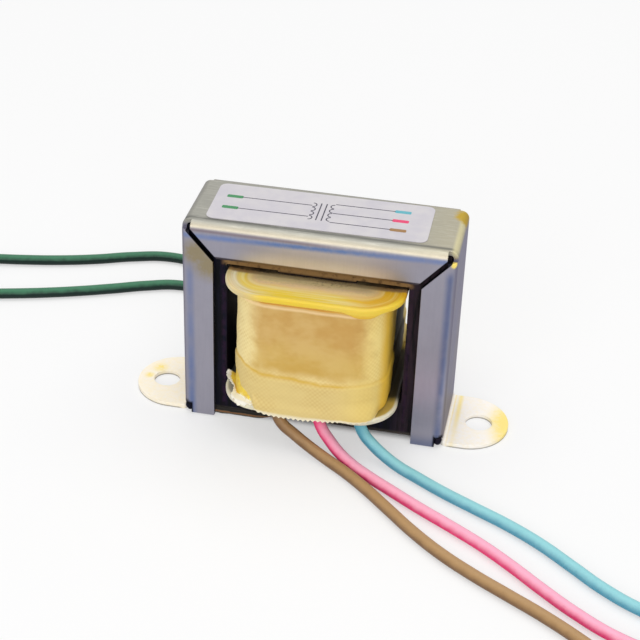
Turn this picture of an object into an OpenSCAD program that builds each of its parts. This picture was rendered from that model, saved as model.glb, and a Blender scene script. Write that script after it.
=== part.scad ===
// Chassis mount transformer: a laminated core and a wound bobbin, held in a
// folded sheet-steel channel bracket with two feet, with loose leads.
// The origin is on the chassis, under the middle of the core. X runs from foot
// to foot, Y from the front to the back and Z up. All sizes are millimetres.

/* [Core] */
// Width of the centre tongue of a lamination
tongue_w = 14.3; // [11:0.1:18]
// Width of each outer leg of a lamination
leg_w = 7.15; // [5:0.05:10]
// Height of each yoke, across the top and across the bottom
yoke_h = 7.1; // [5:0.05:10]
// Width of the winding window on each side of the tongue
window_w = 9.6; // [8.5:0.1:14]
// Height of the winding window
window_h = 25.4; // [20:0.1:36]
// Thickness of one lamination
lamination_t = 0.48; // [0.36:0.02:0.7]
// Oxide and varnish between two laminations
lamination_gap = 0.02; // [0.01:0.01:0.05]
// Number of laminations in the stack
lamination_count = 32; // [26:2:44]
// Height of the core's underside above the chassis
core_lift = 1.4; // [1:0.1:3]

/* [Bracket] */
// Thickness of the sheet steel
sheet_t = 0.9; // [0.6:0.1:1.2]
// Inside radius of every bend
bend_r = 0.6; // [0.4:0.1:1]
// Width of each outer leg left bare beside the side lips
leg_bare = 2.3; // [1.2:0.05:3]
// Height of the upper yoke left bare below the top lips
yoke_bare = 1.4; // [0.6:0.05:3]
// Width of the mitre slits between the lips
mitre_gap = 0.9; // [0.4:0.1:1.4]
// Gap between the end of a bend and the open corner
corner_gap = 0.3; // [0.1:0.1:0.8]
// Height of the notch between a foot's bend and the bend of the lip above it
notch_h = 0.7; // [0.3:0.1:2]
// Height of the lower ends of the lips above the chassis
lip_lift = 0.3; // [0.1:0.1:0.8]
// Width of a foot
foot_w = 16; // [12:0.1:17]
// Length of a foot from the outside of the wall to its tip
foot_reach = 11.6; // [11:0.1:16]
// Distance of the screw hole's centre from the foot's tip
hole_inset = 5.65; // [4.5:0.05:7]
// Diameter of the screw hole
hole_d = 5.1; // [3.2:0.1:5.6]

/* [Bobbin and coil] */
// Wall of the bobbin's tube
bobbin_wall = 0.8; // [0.6:0.1:1.2]
// Corner radius of the bobbin's tube
tube_corner_r = 1; // [0.6:0.1:1.6]
// Thickness of a flange
flange_t = 1.1; // [0.8:0.1:1.6]
// How far the flanges reach out in front of and behind the core
flange_reach = 9.2; // [8.5:0.1:13]
// Corner radius of the flanges
flange_corner_r = 7.2; // [4:0.1:9]
// Thickness of the primary winding beside the tongue
primary_t = 2.6; // [2:0.1:3]
// Thickness of the insulation between the windings
insulation_t = 0.2; // [0.1:0.05:0.4]
// Thickness of the secondary winding beside the tongue
secondary_t = 2.6; // [2.2:0.1:3]
// Thickness of the woven tape round the windings
tape_t = 0.6; // [0.3:0.05:0.9]
// How much thicker the layers lie in front and behind than at the sides
swell_ratio = 1.3; // [1.2:0.05:1.4]
// Thickness of the lower band of tape
anchor_t = 0.25; // [0.1:0.05:0.4]
// Height of the lower band of tape above the lower flange
anchor_h = 7.4; // [4:0.1:12]
// Length of the lower band that is pulled over the flange, from its front edge
anchor_wrap = 6.4; // [3:0.1:8]

/* [Leads] */
// Diameter of a lead over its insulation
lead_d = 2.2; // [1.4:0.1:2.4]
// Diameter of a stripped, tinned end
strand_d = 1; // [0.6:0.1:1.2]
// Length of a stripped, tinned end
strand_l = 7; // [4:0.5:12]
// Length of the splice above the lower flange
splice_h = 7; // [4:0.5:12]
// How far the left front lead lies inside the side of the bobbin's tube
left_lead_in = 2; // [1:0.1:4]
// How far the right front lead lies outside the side of the bobbin's tube
right_lead_out = 1.7; // [0:0.1:2]

/* [Label] */
// Thickness of the label
label_t = 0.12; // [0.06:0.02:0.3]
// Bare top to the left of the label
label_left = 2.3; // [1:0.1:8]
// Bare top to the right of the label
label_right = 4.6; // [1:0.1:10]
// Bare top in front of the label
label_front = 1.3; // [0.6:0.1:4]
// Bare top behind the label
label_back = 0.6; // [0.5:0.1:4]
// Corner radius of the label
label_corner_r = 1.4; // [0.4:0.1:2]
// Turn of the label on the top, in degrees
label_turn = 0.8; // [0:0.1:1]

/* [Fits] */
// Gap between the core's edges and the inside of the bends along the top and sides
core_fit = 0.07; // [0.03:0.01:0.2]
// Gap between the core's edges and the inside of the bends along the lips
lip_fit = 0.07; // [0.03:0.01:0.4]
// Gap between the tongue and the bobbin's tube
tongue_fit = 0.15; // [0.05:0.05:0.3]
// Gap between the flanges and the outer legs
flange_fit = 0.5; // [0.1:0.05:0.8]
// Gap between the flanges and the yokes
yoke_fit = 0.25; // [0.05:0.05:0.4]
// Gap round a lead's splice in its hole
lead_fit = 0.1; // [0.05:0.05:0.2]

/* [Hidden] */
$fn = 64;

// Core
core_w = tongue_w + 2 * (window_w + leg_w);
core_h = window_h + 2 * yoke_h;
lamination_pitch = lamination_t + lamination_gap;
stack_d = lamination_count * lamination_pitch - lamination_gap;
window_z = core_lift + yoke_h;

// Bracket
bend_out = bend_r + sheet_t;
// Length by which a bend runs on into the flat at each of its ends
bend_lap = sheet_t / 6;
// A square corner sits clear of a bend's inside at this distance from both walls
corner_relief = bend_r * (1 - cos(45));
core_gap = corner_relief + core_fit;
lip_gap = corner_relief + lip_fit;
bracket_w = core_w + 2 * (core_gap + sheet_t);
bracket_d = stack_d + 2 * (lip_gap + sheet_t);
bracket_h = core_lift + core_h + core_gap + sheet_t;
flat_w = bracket_w - 2 * bend_out;
flat_d = bracket_d - 2 * bend_out;
foot_x = bracket_w / 2 + bend_r;
foot_tip_x = bracket_w / 2 + foot_reach;
hole_x = foot_tip_x - hole_inset;
side_lip_w = sheet_t + core_gap + leg_w - leg_bare;
top_lip_h = sheet_t + core_gap + yoke_h - yoke_bare;
mitre_angle = atan2(top_lip_h, side_lip_w);

// Bobbin and coil, as half sizes from the middle of the tongue
tube_in_x = tongue_w / 2 + tongue_fit;
tube_in_y = stack_d / 2 + tongue_fit;
tube_x = tube_in_x + bobbin_wall;
tube_y = tube_in_y + bobbin_wall;
flange_x = tongue_w / 2 + window_w - flange_fit;
flange_y = stack_d / 2 + flange_reach;
lower_flange_z = window_z + yoke_fit;
upper_flange_z = window_z + window_h - yoke_fit - flange_t;
coil_z = lower_flange_z + flange_t;
coil_h = upper_flange_z - coil_z;
primary_build = primary_t;
insulation_build = primary_build + insulation_t;
secondary_build = insulation_build + secondary_t;
tape_build = secondary_build + tape_t;

// The leads leave through the secondary winding, close to the insulation under it
lead_y = tube_y + insulation_build * swell_ratio + lead_d / 2 + 2 * lead_fit;
left_lead_x = -tube_x + left_lead_in;
right_lead_x = tube_x + right_lead_out;
front_lead_x = [left_lead_x, (left_lead_x + right_lead_x) / 2, right_lead_x];
rear_lead_x = [-tube_x, 0];
lead_sides = 8;

// Routes of the leads, from the lower flange to the stripped end
brown_route = [
    [-6.1, -13.8, 8.75], [-5.8, -14, 6.9], [-4.5, -14.6, 4.9], [-2.1, -15.4, 3.5], [1, -16.7, 2.2],
    [5, -18.9, 1.35], [9.2, -21.8, 1.15], [13.4, -25.4, 1.15], [18.4, -30.2, 1.15], [23.6, -35.2, 1.15],
    [29.2, -39.8, 1.15], [35.2, -43.8, 1.15], [41.4, -47.4, 1.15], [47.6, -51, 1.15], [53.6, -55, 1.15],
    [59.4, -59.4, 1.15], [65, -64, 1.15]
];
red_route = [
    [1.9, -13.8, 8.75], [2.2, -14, 6.8], [3.1, -14.6, 5], [4.8, -15.7, 3.4], [6.8, -17.1, 2.1],
    [9.6, -19.1, 1.3], [12.8, -21.4, 1.15], [17.9, -24.8, 1.15], [23.8, -28.6, 1.15], [29.8, -32.2, 1.15],
    [35.8, -36, 1.15], [41.4, -40.2, 1.15], [47, -44.8, 1.15], [52.8, -49.2, 1.15], [59, -53, 1.15],
    [65.8, -55.6, 1.15], [73.2, -57.4, 1.15]
];
blue_route = [
    [9.8, -13.8, 8.75], [10, -14, 7], [11, -14.5, 5.1], [12.8, -15.3, 3.6], [15.1, -16.3, 2.3],
    [18.2, -17.9, 1.4], [22, -20, 1.15], [27.4, -23.2, 1.15], [33.6, -26.4, 1.15], [39.8, -29.6, 1.15],
    [45.8, -33.4, 1.15], [51.4, -37.8, 1.15], [57, -42.2, 1.15], [63.2, -45.8, 1.15], [70, -48.2, 1.15],
    [77, -49.6, 1.15], [84.4, -50.6, 1.15]
];
green_near_route = [
    [-8.1, 13.8, 8.75], [-8.3, 14, 7], [-9.1, 14.7, 5.1], [-10.6, 15.8, 3.5], [-12.9, 17.8, 2.2],
    [-16, 20.8, 1.35], [-20, 24.8, 1.15], [-25.2, 29.8, 1.15], [-31.6, 33, 1.15], [-38.6, 33.8, 1.15],
    [-45, 31.9, 1.15], [-51.2, 29.2, 1.15], [-58, 26.4, 1.15], [-65, 23.9, 1.15], [-72, 21.8, 1.15],
    [-79, 20, 1.15], [-86, 18.6, 1.15]
];
green_far_route = [
    [0, 13.8, 8.75], [-0.2, 14, 7], [-1, 14.7, 5.1], [-2.4, 15.9, 3.5], [-4.7, 18.2, 2.2],
    [-8, 21.4, 1.35], [-12.2, 25.6, 1.15], [-17.4, 31, 1.15], [-23, 36, 1.15], [-29.4, 40.6, 1.15],
    [-36.6, 43.8, 1.15], [-44.2, 44.8, 1.15], [-51.6, 42.9, 1.15], [-58.8, 40, 1.15], [-66.4, 37.6, 1.15],
    [-74.2, 35.8, 1.15], [-82, 34.4, 1.15]
];

// Flat shape helpers

// A quarter of a sheet bend about the origin, turned by an angle, with its laps
module bend_2d(turn) {
    rotate(turn) {
        intersection() {
            difference() {
                circle(bend_out);
                circle(bend_r);
            }
            square(bend_out);
        }
        translate([bend_r, -bend_lap]) square([sheet_t, bend_lap]);
        translate([-bend_lap, bend_r]) square([bend_lap, sheet_t]);
    }
}

// A rectangle with round corners, from its half sizes
module rounded_2d(half_x, half_y, r) {
    square([2 * (half_x - r), 2 * half_y], center = true);
    for (side = [-1, 1])
        translate([side * (half_x - r / 2), 0]) square([r, 2 * (half_y - r)], center = true);
    for (turn = [0, 90, 180, 270])
        translate([(turn == 0 || turn == 270 ? 1 : -1) * (half_x - r), (turn < 180 ? 1 : -1) * (half_y - r)])
            rotate(turn) intersection() {
                circle(r);
                square(r);
            }
}

// Outline of the coil at a given build over the bobbin's tube
module coil_2d(build) {
    rounded_2d(tube_x + build, tube_y + build * swell_ratio, tube_corner_r + build);
}

// One layer of the coil between two builds
module coil_layer(inner, outer, z, h) {
    translate([0, 0, z]) linear_extrude(h) difference() {
        coil_2d(outer);
        coil_2d(inner);
    }
}

// Stands a flat shape up in the XZ plane, with a thickness along Y about the middle
module upright(thickness) {
    rotate([90, 0, 0]) linear_extrude(thickness, center = true) children();
}

// Bracket

// Top, corner bends and walls, folded across Y
module bracket_channel() {
    upright(flat_d) {
        translate([0, bracket_h - sheet_t / 2]) square([flat_w, sheet_t], center = true);
        for (side = [0, 1]) mirror([side, 0]) {
            translate([flat_w / 2, bracket_h - bend_out]) bend_2d(0);
            translate([bracket_w / 2 - sheet_t, bend_out]) square([sheet_t, bracket_h - 2 * bend_out]);
        }
    }
}

// A foot with its bend and its screw hole, at the right
module bracket_foot() {
    upright(foot_w) translate([foot_x, bend_out]) bend_2d(180);
    tip_r = foot_w / 2;
    tip_x = foot_tip_x - tip_r;
    linear_extrude(sheet_t) difference() {
        union() {
            translate([foot_x, -tip_r]) square([tip_x - foot_x, foot_w]);
            translate([tip_x, 0]) intersection() {
                circle(tip_r);
                translate([0, -foot_w]) square([foot_w, 2 * foot_w]);
            }
        }
        translate([hole_x, 0]) circle(d = hole_d);
    }
}

// The front lip down the right wall, with its bend
module side_lip() {
    inner_x = bracket_w / 2 - side_lip_w;
    mitre_z = mitre_gap / 2 / cos(mitre_angle);
    inner_z = bracket_h - top_lip_h - mitre_z;
    outer_z = inner_z + (flat_w / 2 - inner_x) * tan(mitre_angle);
    translate([0, (sheet_t - bracket_d) / 2, 0]) upright(sheet_t)
        polygon([[inner_x, lip_lift], [flat_w / 2, lip_lift], [flat_w / 2, outer_z], [inner_x, inner_z]]);
    translate([flat_w / 2, -flat_d / 2, bend_out + notch_h])
        linear_extrude(bracket_h - 2 * bend_out - corner_gap - notch_h) bend_2d(-90);
}

// The front lip along the top, with its bend
module top_lip() {
    mitre_x = mitre_gap / 2 / sin(mitre_angle);
    low_z = bracket_h - top_lip_h;
    low_x = bracket_w / 2 - side_lip_w - mitre_x;
    high_z = bracket_h - bend_out;
    high_x = low_x + (high_z - low_z) / tan(mitre_angle);
    translate([0, (sheet_t - bracket_d) / 2, 0]) upright(sheet_t)
        polygon([[-low_x, low_z], [low_x, low_z], [high_x, high_z], [-high_x, high_z]]);
    translate([0, -flat_d / 2, high_z]) rotate([90, 0, 90])
        linear_extrude(flat_w - 2 * corner_gap, center = true) bend_2d(90);
}

module channel_bracket() {
    color("silver") {
        bracket_channel();
        for (right = [0, 1]) mirror([right, 0, 0]) {
            bracket_foot();
            for (rear = [0, 1]) mirror([0, rear, 0]) side_lip();
        }
        for (rear = [0, 1]) mirror([0, rear, 0]) top_lip();
    }
}

// Core

// Puts a lamination's flat shape at its place in the stack
module stacked(index) {
    y = (index + 0.5) * lamination_pitch - lamination_gap / 2 - stack_d / 2;
    translate([0, y, core_lift]) upright(lamination_t) children();
}

// Turns every other lamination upside down
module interleaved(index) {
    if (index % 2 == 0) children();
    else translate([0, core_h]) mirror([0, 1]) children();
}

module e_shape() {
    difference() {
        translate([-core_w / 2, 0]) square([core_w, yoke_h + window_h]);
        for (side = [0, 1]) mirror([side, 0])
            translate([tongue_w / 2, yoke_h]) square([window_w, 2 * window_h]);
    }
}

module i_shape() {
    translate([-core_w / 2, yoke_h + window_h]) square([core_w, yoke_h]);
}

module e_laminations() {
    color([0.09, 0.09, 0.13]) for (i = [0:lamination_count - 1]) stacked(i) interleaved(i) e_shape();
}

module i_laminations() {
    color([0.12, 0.11, 0.15]) for (i = [0:lamination_count - 1]) stacked(i) interleaved(i) i_shape();
}

// Bobbin and coil

// Places one child at each lead hole in a row, in front or behind
module at_leads(xs, y) {
    for (x = xs) translate([x, y, 0]) children();
}

// The holes for the splices, from under the lower flange up into the winding
module lead_holes() {
    top = flange_t + splice_h + lead_fit;
    for (row = [[front_lead_x, -lead_y], [rear_lead_x, lead_y]])
        at_leads(row[0], row[1])
            translate([0, 0, lower_flange_z - flange_t]) cylinder(top + flange_t, d = lead_d + 2 * lead_fit);
}

module bobbin() {
    color([0.95, 0.88, 0.5]) difference() {
        union() {
            for (z = [lower_flange_z, upper_flange_z])
                translate([0, 0, z]) linear_extrude(flange_t)
                    rounded_2d(flange_x, flange_y, flange_corner_r);
            translate([0, 0, coil_z]) linear_extrude(coil_h) coil_2d(0);
        }
        translate([-tube_in_x, -tube_in_y, window_z]) cube([2 * tube_in_x, 2 * tube_in_y, window_h]);
        lead_holes();
    }
}

module primary_winding() {
    color([0.72, 0.4, 0.2]) coil_layer(0, primary_build, coil_z, coil_h);
}

module winding_insulation() {
    color([0.85, 0.78, 0.6]) coil_layer(primary_build, insulation_build, coil_z, coil_h);
}

module secondary_winding() {
    color([0.75, 0.44, 0.22]) difference() {
        coil_layer(insulation_build, secondary_build, coil_z, coil_h);
        lead_holes();
    }
}

module splice() {
    translate([0, 0, lower_flange_z]) cylinder(flange_t + splice_h, d = lead_d);
}

module front_splices() {
    color([0.9, 0.85, 0.7]) at_leads(front_lead_x, -lead_y) splice();
}

module rear_splices() {
    color([0.9, 0.85, 0.7]) at_leads(rear_lead_x, lead_y) splice();
}

module coil_tape() {
    color([0.88, 0.76, 0.48]) coil_layer(secondary_build, tape_build, coil_z, coil_h);
}

// The lower band of tape, pulled over the lower flange in front and behind
module anchor_tape() {
    band_build = tape_build + anchor_t;
    color([0.9, 0.8, 0.52]) {
        coil_layer(tape_build, band_build, coil_z, anchor_h);
        for (rear = [0, 1]) mirror([0, rear, 0]) intersection() {
            translate([0, 0, lower_flange_z]) difference() {
                linear_extrude(flange_t + anchor_t)
                    rounded_2d(flange_x + anchor_t, flange_y + anchor_t, flange_corner_r + anchor_t);
                translate([0, 0, -flange_t]) linear_extrude(2 * flange_t)
                    rounded_2d(flange_x, flange_y, flange_corner_r);
                linear_extrude(2 * flange_t) coil_2d(tape_build);
            }
            translate([-core_w / 2, -flange_y - anchor_wrap, 0]) cube([core_w, 2 * anchor_wrap, core_h]);
        }
    }
}

module label() {
    half_x = (flat_w - label_left - label_right) / 2;
    half_y = (flat_d - label_front - label_back) / 2;
    color([0.9, 0.89, 0.92])
        translate([(label_left - label_right) / 2, (label_front - label_back) / 2, bracket_h])
            rotate(label_turn) linear_extrude(label_t) rounded_2d(half_x, half_y, label_corner_r);
}

// Leads

function unit(v) = v / norm(v);

// Direction of a route at one of its points: a lead leaves its hole straight down
function heading(route, i) =
    i == 0 ? [0, 0, -1] : unit(route[min(i + 1, len(route) - 1)] - route[i - 1]);

// A vector carried along to the next point and set square to the route there
function squared(v, along) = unit(v - (v * along) * along);

// One sideways vector for each point of a route, without twist
function sideways(route, i, last) =
    i == len(route) ? [] :
    let (v = squared(last, heading(route, i))) concat([v], sideways(route, i + 1, v));

// A round tube along a route
module tube(route) {
    rings = len(route);
    sides = sideways(route, 0, [1, 0, 0]);
    points = [
        for (i = [0:rings - 1], k = [0:lead_sides - 1])
            let (a = 360 * k / lead_sides, v = cross(heading(route, i), sides[i]))
                route[i] + lead_d / 2 * (cos(a) * sides[i] + sin(a) * v)
    ];
    walls = [
        for (i = [0:rings - 2], k = [0:lead_sides - 1])
            let (a = i * lead_sides + k, b = i * lead_sides + (k + 1) % lead_sides)
                each [[a, a + lead_sides, b + lead_sides], [a, b + lead_sides, b]]
    ];
    first_cap = [for (k = [0:lead_sides - 1]) k];
    last_cap = [for (k = [1:lead_sides]) rings * lead_sides - k];
    polyhedron(points, concat(walls, [first_cap, last_cap]));
}

// The stripped conductor beyond the end of a route
module strand(route) {
    last = len(route) - 1;
    along = heading(route, last);
    color([0.8, 0.8, 0.82]) translate(route[last])
        rotate([0, 90, atan2(along.y, along.x)]) cylinder(strand_l, d = strand_d);
}

module lead_brown() { color([0.6, 0.47, 0.3]) tube(brown_route); }
module lead_red() { color([0.95, 0.25, 0.48]) tube(red_route); }
module lead_blue() { color([0.5, 0.77, 0.8]) tube(blue_route); }
module lead_green_near() { color([0.22, 0.5, 0.32]) tube(green_near_route); }
module lead_green_far() { color([0.26, 0.55, 0.36]) tube(green_far_route); }
module end_brown() { strand(brown_route); }
module end_red() { strand(red_route); }
module end_blue() { strand(blue_route); }
module end_green_near() { strand(green_near_route); }
module end_green_far() { strand(green_far_route); }

channel_bracket();
e_laminations();
i_laminations();
bobbin();
primary_winding();
winding_insulation();
secondary_winding();
front_splices();
rear_splices();
coil_tape();
anchor_tape();
label();
lead_brown();
lead_red();
lead_blue();
lead_green_near();
lead_green_far();
end_brown();
end_red();
end_blue();
end_green_near();
end_green_far();
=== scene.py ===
"""Looks of a chassis mount transformer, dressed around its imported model.

Sizes in the classes are millimetres, as in the part's source, and MM turns them into metres.
X runs from foot to foot, Y from the front to the back and Z up.
"""

import logging
import math
from dataclasses import dataclass
from enum import Enum
from functools import reduce
from typing import Any, Callable, Sequence

import bmesh
import bpy
from mathutils import Matrix, Vector, noise


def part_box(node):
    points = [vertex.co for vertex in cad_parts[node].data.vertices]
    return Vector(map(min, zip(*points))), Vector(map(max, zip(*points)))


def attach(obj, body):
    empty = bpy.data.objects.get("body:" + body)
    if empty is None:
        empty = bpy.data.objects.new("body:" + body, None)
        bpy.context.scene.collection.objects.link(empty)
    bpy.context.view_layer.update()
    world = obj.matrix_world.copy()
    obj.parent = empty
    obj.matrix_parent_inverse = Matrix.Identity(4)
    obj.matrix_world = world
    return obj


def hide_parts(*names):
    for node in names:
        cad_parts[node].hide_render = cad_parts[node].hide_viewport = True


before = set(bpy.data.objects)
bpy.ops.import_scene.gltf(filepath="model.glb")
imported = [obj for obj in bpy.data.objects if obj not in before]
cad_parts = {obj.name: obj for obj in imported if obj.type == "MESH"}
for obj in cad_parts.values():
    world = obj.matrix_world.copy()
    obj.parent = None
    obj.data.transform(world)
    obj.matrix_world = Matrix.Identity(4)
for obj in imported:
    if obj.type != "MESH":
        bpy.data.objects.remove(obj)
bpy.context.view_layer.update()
BODY = "root"
MM = 0.001
TOUCH = 1e-7
BLACK = "#000000"
WHITE = (1.0, 1.0, 1.0, 1.0)
WEAVE = "weave"
BORDER = "border"
LOG = logging.getLogger("transformer")

Point = tuple[float, float, float]
Pair = tuple[float, float]
Knots = tuple[Pair, ...]
Spot = tuple[Point, float]
Colour = tuple[float, float, float, float]
Material = bpy.types.Material


def srgb(code: str) -> Colour:
    """Turns a colour code into linear light.

    Args:
        code: Such as #C8A566.

    Returns:
        Red, green, blue and a full alpha.
    """
    parts = [int(code[i:i + 2], 16) / 255 for i in (1, 3, 5)]
    red, green, blue = (v / 12.92 if v <= 0.04045 else ((v + 0.055) / 1.055) ** 2.4 for v in parts)
    return (red, green, blue, 1.0)


def ease(value: float, low: float, high: float) -> float:
    """Rises smoothly from 0 at low to 1 at high."""
    share = min(1.0, max(0.0, (value - low) / (high - low)))
    return share * share * (3 - 2 * share)


def between(knots: Knots, place: float) -> float:
    """Reads a smooth line that is level past its ends.

    Args:
        knots: Places along the line and their values, in order.
        place: Where the line is read.

    Returns:
        The value there.
    """
    if place <= knots[0][0]:
        return knots[0][1]
    for (start, first), (stop, last) in zip(knots, knots[1:]):
        if place <= stop:
            return first + (last - first) * ease(place, start, stop)
    return knots[-1][1]


class Socket:
    """A value in a node tree that takes part in Python's arithmetic."""

    def __init__(self, shader: "Shader", link: bpy.types.NodeSocket | None) -> None:
        """Keeps the shader and the output that holds the value."""
        self.shader = shader
        self.link = link

    def _math(self, operation: str, *values: Any) -> "Socket":
        """Adds one Math node for an operation on sockets and numbers."""
        return self.shader.node("ShaderNodeMath", {"operation": operation}, dict(enumerate(values)))

    def __add__(self, other: Any) -> "Socket":
        """Adds."""
        return self._math("ADD", self, other)

    def __sub__(self, other: Any) -> "Socket":
        """Subtracts."""
        return self._math("SUBTRACT", self, other)

    def __rsub__(self, other: Any) -> "Socket":
        """Subtracts this value from a number."""
        return self._math("SUBTRACT", other, self)

    def __mul__(self, other: Any) -> "Socket":
        """Multiplies."""
        return self._math("MULTIPLY", self, other)

    __radd__ = __add__
    __rmul__ = __mul__

    def __neg__(self) -> "Socket":
        """Turns the sign."""
        return 0 - self

    def __abs__(self) -> "Socket":
        """Drops the sign."""
        return self._math("ABSOLUTE", self)

    def most(self, other: Any) -> "Socket":
        """The larger of two values."""
        return self._math("MAXIMUM", self, other)

    def least(self, other: Any) -> "Socket":
        """The smaller of two values."""
        return self._math("MINIMUM", self, other)

    def wave(self, pitch: float) -> "Socket":
        """A sine wave of this pitch."""
        return self._math("SINE", self * (2 * math.pi / pitch))

    def rise(self, low: float, high: float) -> "Socket":
        """Rises smoothly from 0 at low to 1 at high."""
        sockets = {"Value": self, "From Min": low, "From Max": high}
        return self.shader.node("ShaderNodeMapRange", {"interpolation_type": "SMOOTHSTEP"}, sockets)

    def band(self, middle: float, half: float) -> "Socket":
        """A soft stripe that is 1 at its middle and 0 past half its width."""
        return 1 - abs(self - middle).rise(0.0, half)

    def under(self, *layers: tuple["str | Socket", Any]) -> "Socket":
        """Lays other colours over this one, each with the share that it covers, from the lowest up."""
        return reduce(lambda colour, layer: self.shader.mix(colour, *layer), layers, self)


class Shader:
    """A node tree in the making, for a material or for the world."""

    def __init__(self, name: str, world: bool = False) -> None:
        """Starts an empty tree.

        Args:
            name: The name of the material or the world.
            world: Whether the tree is a world's.
        """
        self.owner = (bpy.data.worlds if world else bpy.data.materials).new(name)
        self.owner.use_nodes = True
        self.tree = self.owner.node_tree
        self.tree.nodes.clear()

    def node(
        self,
        kind: str,
        settings: dict[str, Any] | None = None,
        sockets: dict[Any, Any] | None = None,
        output: Any = 0,
    ) -> Socket:
        """Adds any node.

        Args:
            kind: The node's type.
            settings: Its own settings, which are set first.
            sockets: Values or links of its inputs, by name or number.
            output: The output that is wanted, by name or number.

        Returns:
            The wanted output, which is empty for a node that ends the tree.
        """
        made = self.tree.nodes.new(kind)
        for key, value in (settings or {}).items():
            setattr(made, key, value)
        for key, value in (sockets or {}).items():
            if isinstance(value, Socket):
                self.tree.links.new(value.link, made.inputs[key])
            else:
                made.inputs[key].default_value = value
        return Socket(self, made.outputs[output] if made.outputs else None)

    def place(self) -> tuple[Socket, Socket, Socket]:
        """The point on the piece, in millimetres."""
        return self.split(self.node("ShaderNodeTexCoord", output="Object"), 1 / MM)

    def split(self, vector: Socket, scale: float = 1.0) -> tuple[Socket, Socket, Socket]:
        """The three parts of a vector, each times a scale."""
        parts = [self.node("ShaderNodeSeparateXYZ", {}, {0: vector}, axis) for axis in "XYZ"]
        return tuple(part * scale for part in parts)

    def vector(self, x: Any, y: Any, z: Any) -> Socket:
        """A vector from three values."""
        return self.node("ShaderNodeCombineXYZ", {}, {0: x, 1: y, 2: z})

    def grain(self, at: Sequence[Any], scale: float, detail: float = 3.0, rough: float = 0.55) -> Socket:
        """Noise between 0 and 1 over three values."""
        sockets = {"Vector": self.vector(*at), "Scale": scale, "Detail": detail, "Roughness": rough}
        return self.node("ShaderNodeTexNoise", {}, sockets)

    def spots(self, at: Sequence[Socket], *spots: Spot) -> Socket:
        """Soft round spots.

        Args:
            at: The point on the piece.
            spots: Each spot's middle and radius.

        Returns:
            1 in the middle of each spot and 0 past its radius.
        """
        found = []
        for middle, radius in spots:
            ends = {0: self.vector(*at), 1: middle}
            apart = self.node("ShaderNodeVectorMath", {"operation": "DISTANCE"}, ends, "Value")
            found.append(1 - apart.rise(0.0, radius))
        return reduce(Socket.most, found)

    def mix(self, first: str | Socket, second: str | Socket, share: Any) -> Socket:
        """Goes from one colour to another as share goes from 0 to 1."""
        ends = [srgb(end) if isinstance(end, str) else end for end in (first, second)]
        return self.node("ShaderNodeMix", {"data_type": "RGBA"}, {0: share, 6: ends[0], 7: ends[1]}, 2)

    def finish(
        self,
        colour: Socket,
        roughness: Any,
        relief: tuple[Socket, float, float] | None = None,
        others: dict[str, Any] | None = None,
    ) -> Material:
        """Closes the material with one Principled surface.

        Args:
            colour: Its base colour.
            roughness: Its roughness.
            relief: A height between 0 and 1, the depth that it stands for and its strength.
            others: Values or links of its other inputs.

        Returns:
            The finished material.
        """
        sockets = {"Base Color": colour, "Roughness": roughness, **(others or {})}
        if relief:
            height, depth, strength = relief
            bump = {"Height": height, "Distance": depth * MM, "Strength": strength}
            sockets["Normal"] = self.node("ShaderNodeBump", {}, bump)
        surface = self.node("ShaderNodeBsdfPrincipled", {}, sockets)
        self.node("ShaderNodeOutputMaterial", {}, {"Surface": surface})
        return self.owner


@dataclass(frozen=True)
class PlateMarks:
    """What the tints of the plate go by: the point, the noises and the parts of the bracket."""

    at: tuple[Socket, Socket, Socket]
    cloudy: Socket
    mottled: Socket
    streaky: Socket
    face: Socket
    upper: Socket
    low: Socket


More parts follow.
